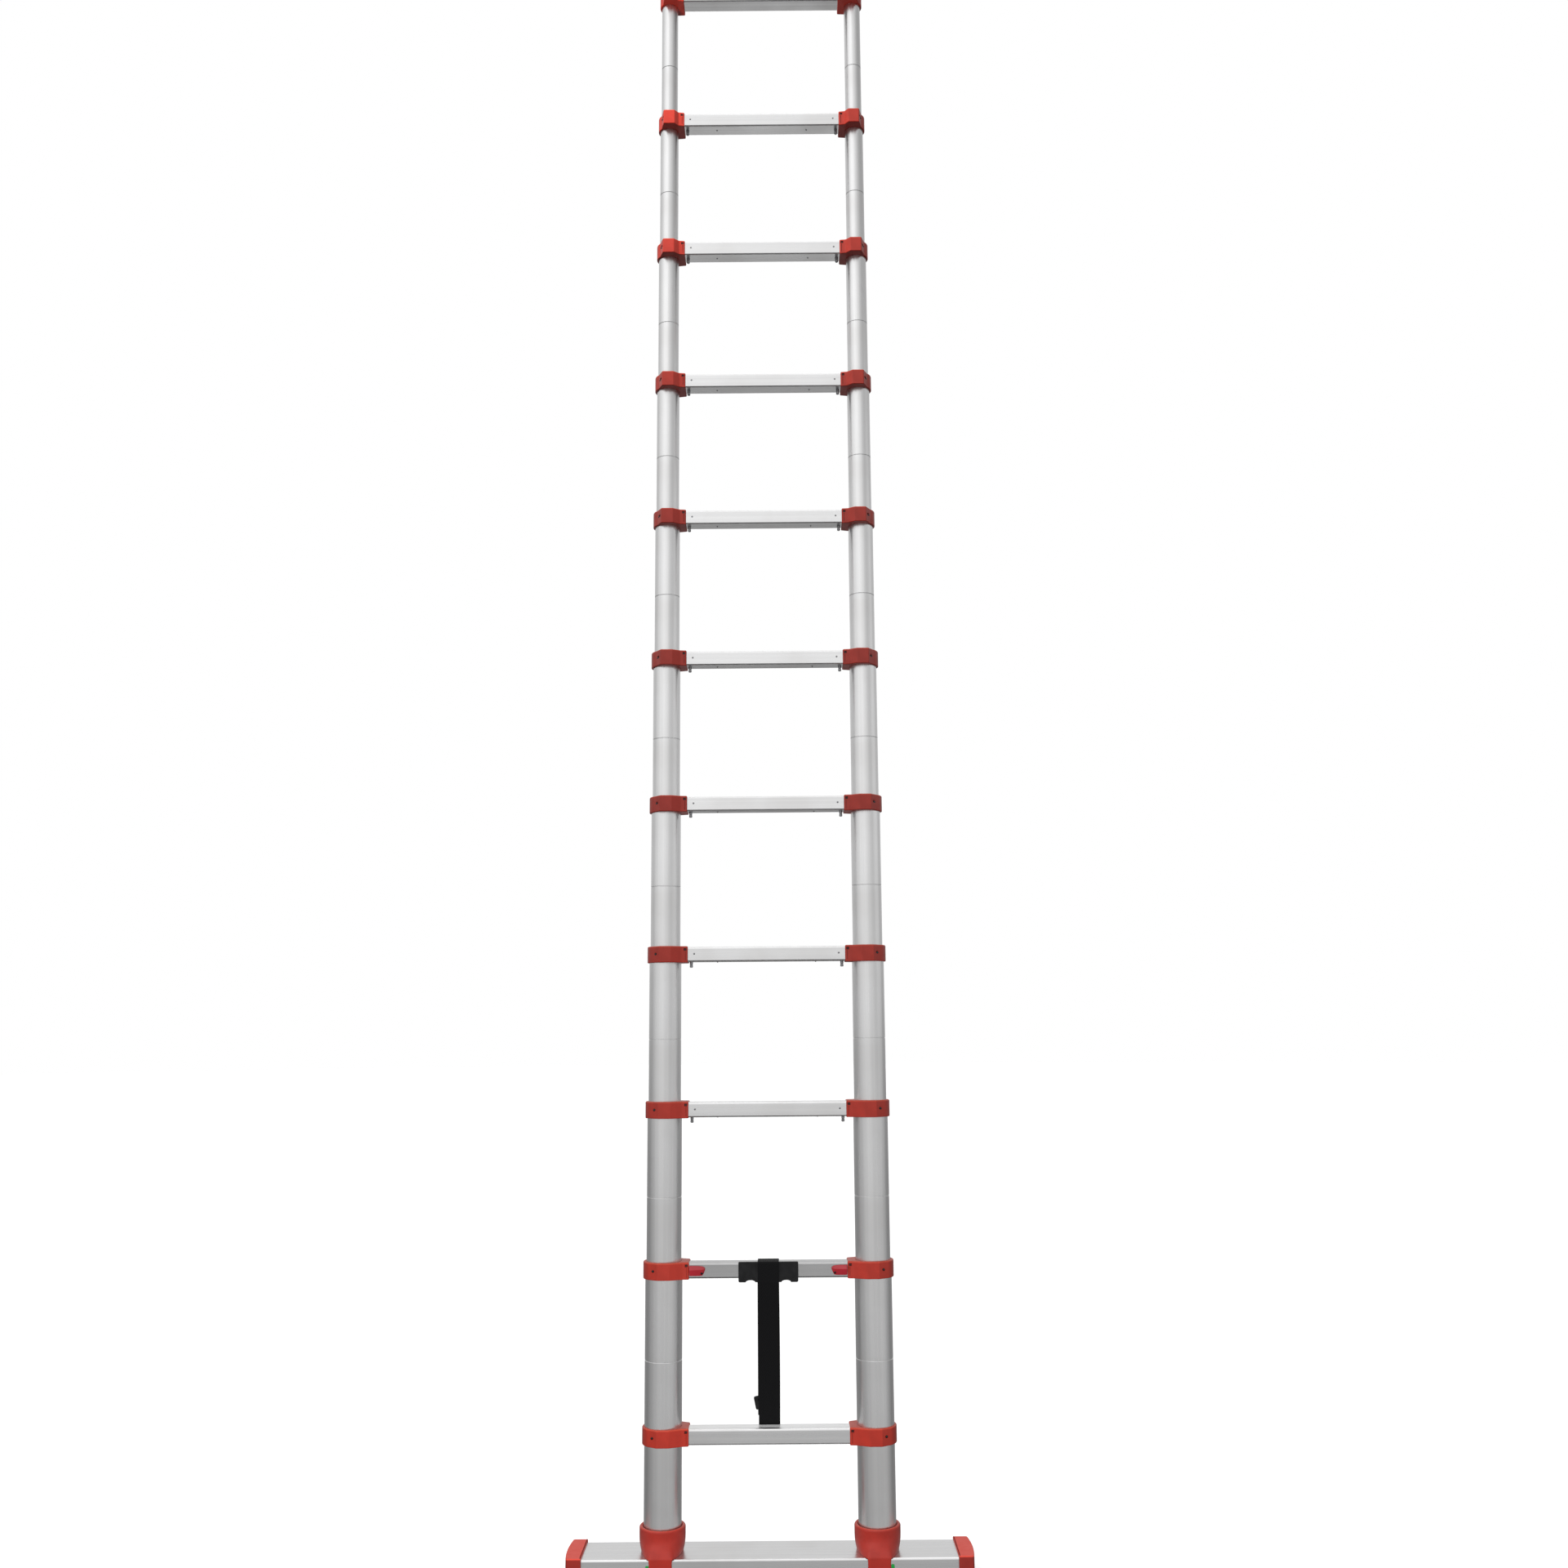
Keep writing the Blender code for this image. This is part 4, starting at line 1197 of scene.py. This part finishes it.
def make_floor():
    """A plain pale floor that the camera sees. It casts no light back into the metal."""
    shape = bmesh.new()
    add_lathe(shape, ((FLOOR_RADIUS, -FLOOR_THICKNESS), (FLOOR_RADIUS, 0.0)), 64)
    floor = new_object("floor", shape)
    look = Look("pale_floor", 0.9)
    look.put("Base Color", FLOOR_GREY)
    look.put("Specular IOR Level", 0.0)
    look.put("Emission Color", 1.0)
    look.put("Emission Strength", FLOOR_GLOW)
    floor.data.materials.append(look.material)
    floor.visible_diffuse = False
    floor.visible_glossy = False
    floor.visible_shadow = False


# Brightness round the studio, by azimuth from the front in degrees with the ladder's left negative:
# high up, just above head height, and below it
HIGH_RING = (
    (-180, 0.70), (-110, 0.62), (-80, 0.82), (-55, 1.08), (-32, 1.20), (-11, 1.12), (0, 0.80),
    (11, 0.82), (32, 0.62), (55, 0.40), (80, 0.32), (110, 0.36), (180, 0.70),
)
MIDDLE_RING = (
    (-180, 0.70), (-110, 0.54), (-80, 0.74), (-55, 0.88), (-32, 0.98), (-11, 0.98), (0, 0.94),
    (11, 0.83), (32, 0.65), (55, 0.56), (80, 0.78), (98, 0.70), (115, 0.50), (180, 0.70),
)
LOWER_RING = (
    (-180, 0.30), (-140, 0.26), (-110, 0.19), (-70, 0.36), (-30, 0.52), (0, 0.55), (40, 0.56),
    (62, 0.56), (84, 0.38), (110, 0.19), (140, 0.24), (180, 0.30),
)
# Brightness straight down, behind the ladder's foot (near the nadir and higher), and overhead
NADIR = 0.08
REAR_FLOOR = (1.20, 0.26)
OVERHEAD = 1.20
# Where one zone fades into the next, by the height of the direction, and for the rear by its depth
NADIR_FADE = (-0.57, -0.18)
REAR_FLOOR_FADE = (-0.58, -0.48)
REAR_FADE = (0.72, 0.86)
MIDDLE_FADE = (0.33, 0.46)
HORIZON_FADE = (-0.065, 0.06)
OVERHEAD_FADE = (0.72, 0.92)


def make_world():
    """A soft studio dome: bright above head height, dim below it, and plain white behind the ladder."""
    world = bpy.data.worlds.new("studio")
    bpy.context.scene.world = world
    world.use_nodes = True
    nodes, links = world.node_tree.nodes, world.node_tree.links
    nodes.clear()

    def node(kind, **values):
        made = nodes.new(kind)
        for name, value in values.items():
            setattr(made, name, value)
        return made

    def compute(operation, *values):
        made = node("ShaderNodeMath", operation=operation)
        for value, socket in zip(values, made.inputs):
            feed(links, value, socket)
        return made.outputs[0]

    def ring(factor, stops):
        made = node("ShaderNodeValToRGB")
        elements = made.color_ramp.elements
        while len(elements) < len(stops):
            elements.new(0.5)
        for element, (turn, value) in zip(elements, stops):
            element.position = turn / 360 + 0.5
            element.color = rgba(value)
        links.new(factor, made.inputs["Fac"])
        return made.outputs["Color"]

    def blend(factor, low, high, span):
        ramp = node("ShaderNodeMapRange", interpolation_type="SMOOTHSTEP")
        for value, name in zip((factor, *span), ("Value", "From Min", "From Max")):
            feed(links, value, ramp.inputs[name])
        made = node("ShaderNodeMix", data_type="RGBA")
        for value, socket in ((ramp.outputs[0], 0), (low, 6), (high, 7)):
            feed(links, value, made.inputs[socket])
        return made.outputs[2]

    direction = node("ShaderNodeTexCoord").outputs["Generated"]
    parts = node("ShaderNodeSeparateXYZ")
    links.new(direction, parts.inputs[0])
    x, y, z = parts.outputs
    azimuth = compute("ARCTAN2", x, compute("MULTIPLY", y, -1.0))
    around = compute("MULTIPLY_ADD", azimuth, 1 / (2 * math.pi), 0.5)
    low = blend(z, NADIR, ring(around, LOWER_RING), NADIR_FADE)
    low = blend(y, low, blend(z, *REAR_FLOOR, REAR_FLOOR_FADE), REAR_FADE)
    high = blend(z, ring(around, MIDDLE_RING), ring(around, HIGH_RING), MIDDLE_FADE)
    light = blend(z, low, high, HORIZON_FADE)
    light = blend(z, light, OVERHEAD, OVERHEAD_FADE)

    lit = node("ShaderNodeBackground")
    links.new(light, lit.inputs["Color"])
    plain = node("ShaderNodeBackground")
    feed(links, 1.0, plain.inputs["Color"])
    choose = node("ShaderNodeMixShader")
    links.new(node("ShaderNodeLightPath").outputs["Is Camera Ray"], choose.inputs[0])
    links.new(lit.outputs[0], choose.inputs[1])
    links.new(plain.outputs[0], choose.inputs[2])
    links.new(choose.outputs[0], node("ShaderNodeOutputWorld").inputs["Surface"])


def make_light(name, place, target, size, power):
    data = bpy.data.lights.new(name, "AREA")
    data.shape = "RECTANGLE"
    data.size, data.size_y = size
    data.energy = power
    lamp = bpy.data.objects.new(name, data)
    lamp.location = place
    aim = Vector(target) - Vector(place)
    lamp.rotation_euler = aim.to_track_quat("-Z", "Y").to_euler()
    lamp.visible_camera = False
    lamp.visible_glossy = False
    bpy.context.scene.collection.objects.link(lamp)


# The camera's place is across the ladder, before it and above the lowest rung. Its angles are in degrees.
CAMERA_PLACE = (0.0373, -2.963, 0.755)
CAMERA_TIP = 9.35
CAMERA_ROLL = -0.46
CAMERA_LENS = 34.03


def make_camera():
    """A camera about a metre above the floor, tipped up to take in the whole height."""
    data = bpy.data.cameras.new("camera")
    data.lens = CAMERA_LENS
    data.sensor_width = 36.0
    camera = bpy.data.objects.new("camera", data)
    tip = Matrix.Rotation(math.radians(90 + CAMERA_TIP), 4, "X")
    roll = Matrix.Rotation(math.radians(CAMERA_ROLL), 4, "Z")
    place = Vector(CAMERA_PLACE) + Vector((0, 0, rung_height(1)))
    camera.matrix_world = Matrix.Translation(place) @ tip @ roll
    bpy.context.scene.collection.objects.link(camera)
    bpy.context.scene.camera = camera


# ---------------------------------------------------------------- the whole ladder

make_camera()
make_world()
make_floor()
make_light("upper_softbox", (-0.45, -0.7, 3.0), (-0.05, 0, 3.0), (0.4, 0.4), 11)
make_light("lower_softbox", (-0.15, -1.05, 0.35), (-0.02, 0, 0.12), (0.5, 0.3), 8.5)
bpy.context.scene.view_settings.view_transform = "Standard"

tube_metal = brushed_aluminium("tube_aluminium", "Z", 0.88)
rung_metal = brushed_aluminium("rung_aluminium", "X", 0.90)
# Painted shade: rung 2 gets a darker copy of the rung metal.
shaded_metal = brushed_aluminium("slider_rung_aluminium_painted_shade", "X", 0.58)
bar_metal = brushed_aluminium("bar_aluminium", "X", 0.88)
# The height given to collar_red, cap_red and socket_red is where each one's painted top-edge highlight, with
# some rubbed wear, begins.
collar_red = moulded_red("collar_red", (0.35, 0.021, 0.010), 0.40, 0.0125)
# Very dark red for the window inserts: painted shade.
window_shade_red = moulded_red("window_shade_red", (0.05, 0.006, 0.005), 0.5)
slider_red = moulded_red("slider_red", (0.36, 0.020, 0.030), 0.32)
cap_red = moulded_red("cap_red", (0.25, 0.015, 0.009), 0.50, 0.0505, (3.6, 5.6, 5.6))
socket_red = moulded_red("socket_red", (0.315, 0.017, 0.009), 0.44, 0.0935, (1.7, 3.0, 2.6))
steel = speckled_steel("zinc_plated_steel", (0.26, 0.26, 0.27), (0.40, 0.40, 0.41))
# Near-black steel for the screws: painted shade inside their holes.
hole_shade_steel = speckled_steel("steel_painted_hole_shade", (0.03, 0.03, 0.032), (0.08, 0.08, 0.082))
webbing = woven_webbing()
sewing = thread()
black = moulded_black()
green = marker_green()

for tube in range(1, TUBE_COUNT + 1):
    for side in SIDES:
        make_tube(tube, side, tube_metal)
for rung in range(1, RUNG_COUNT + 1):
    make_rung(rung, shaded_metal if rung == SLIDER_RUNG else rung_metal)
    for side in SIDES:
        make_collar(rung, side, collar_red, hole_shade_steel, window_shade_red)
for rung in PIN_RUNGS:
    make_rung_fixings(rung, steel)
    for side in SIDES:
        make_release_pin(rung, side, steel)
make_bar(bar_metal)
for side in SIDES:
    make_thumb_slider(side, slider_red, hole_shade_steel)
    make_cap(side, cap_red)
    make_socket(side, socket_red)
    make_marker(side, green)
make_strap(webbing, sewing)
make_grip_plate(black)
make_buckle(black)
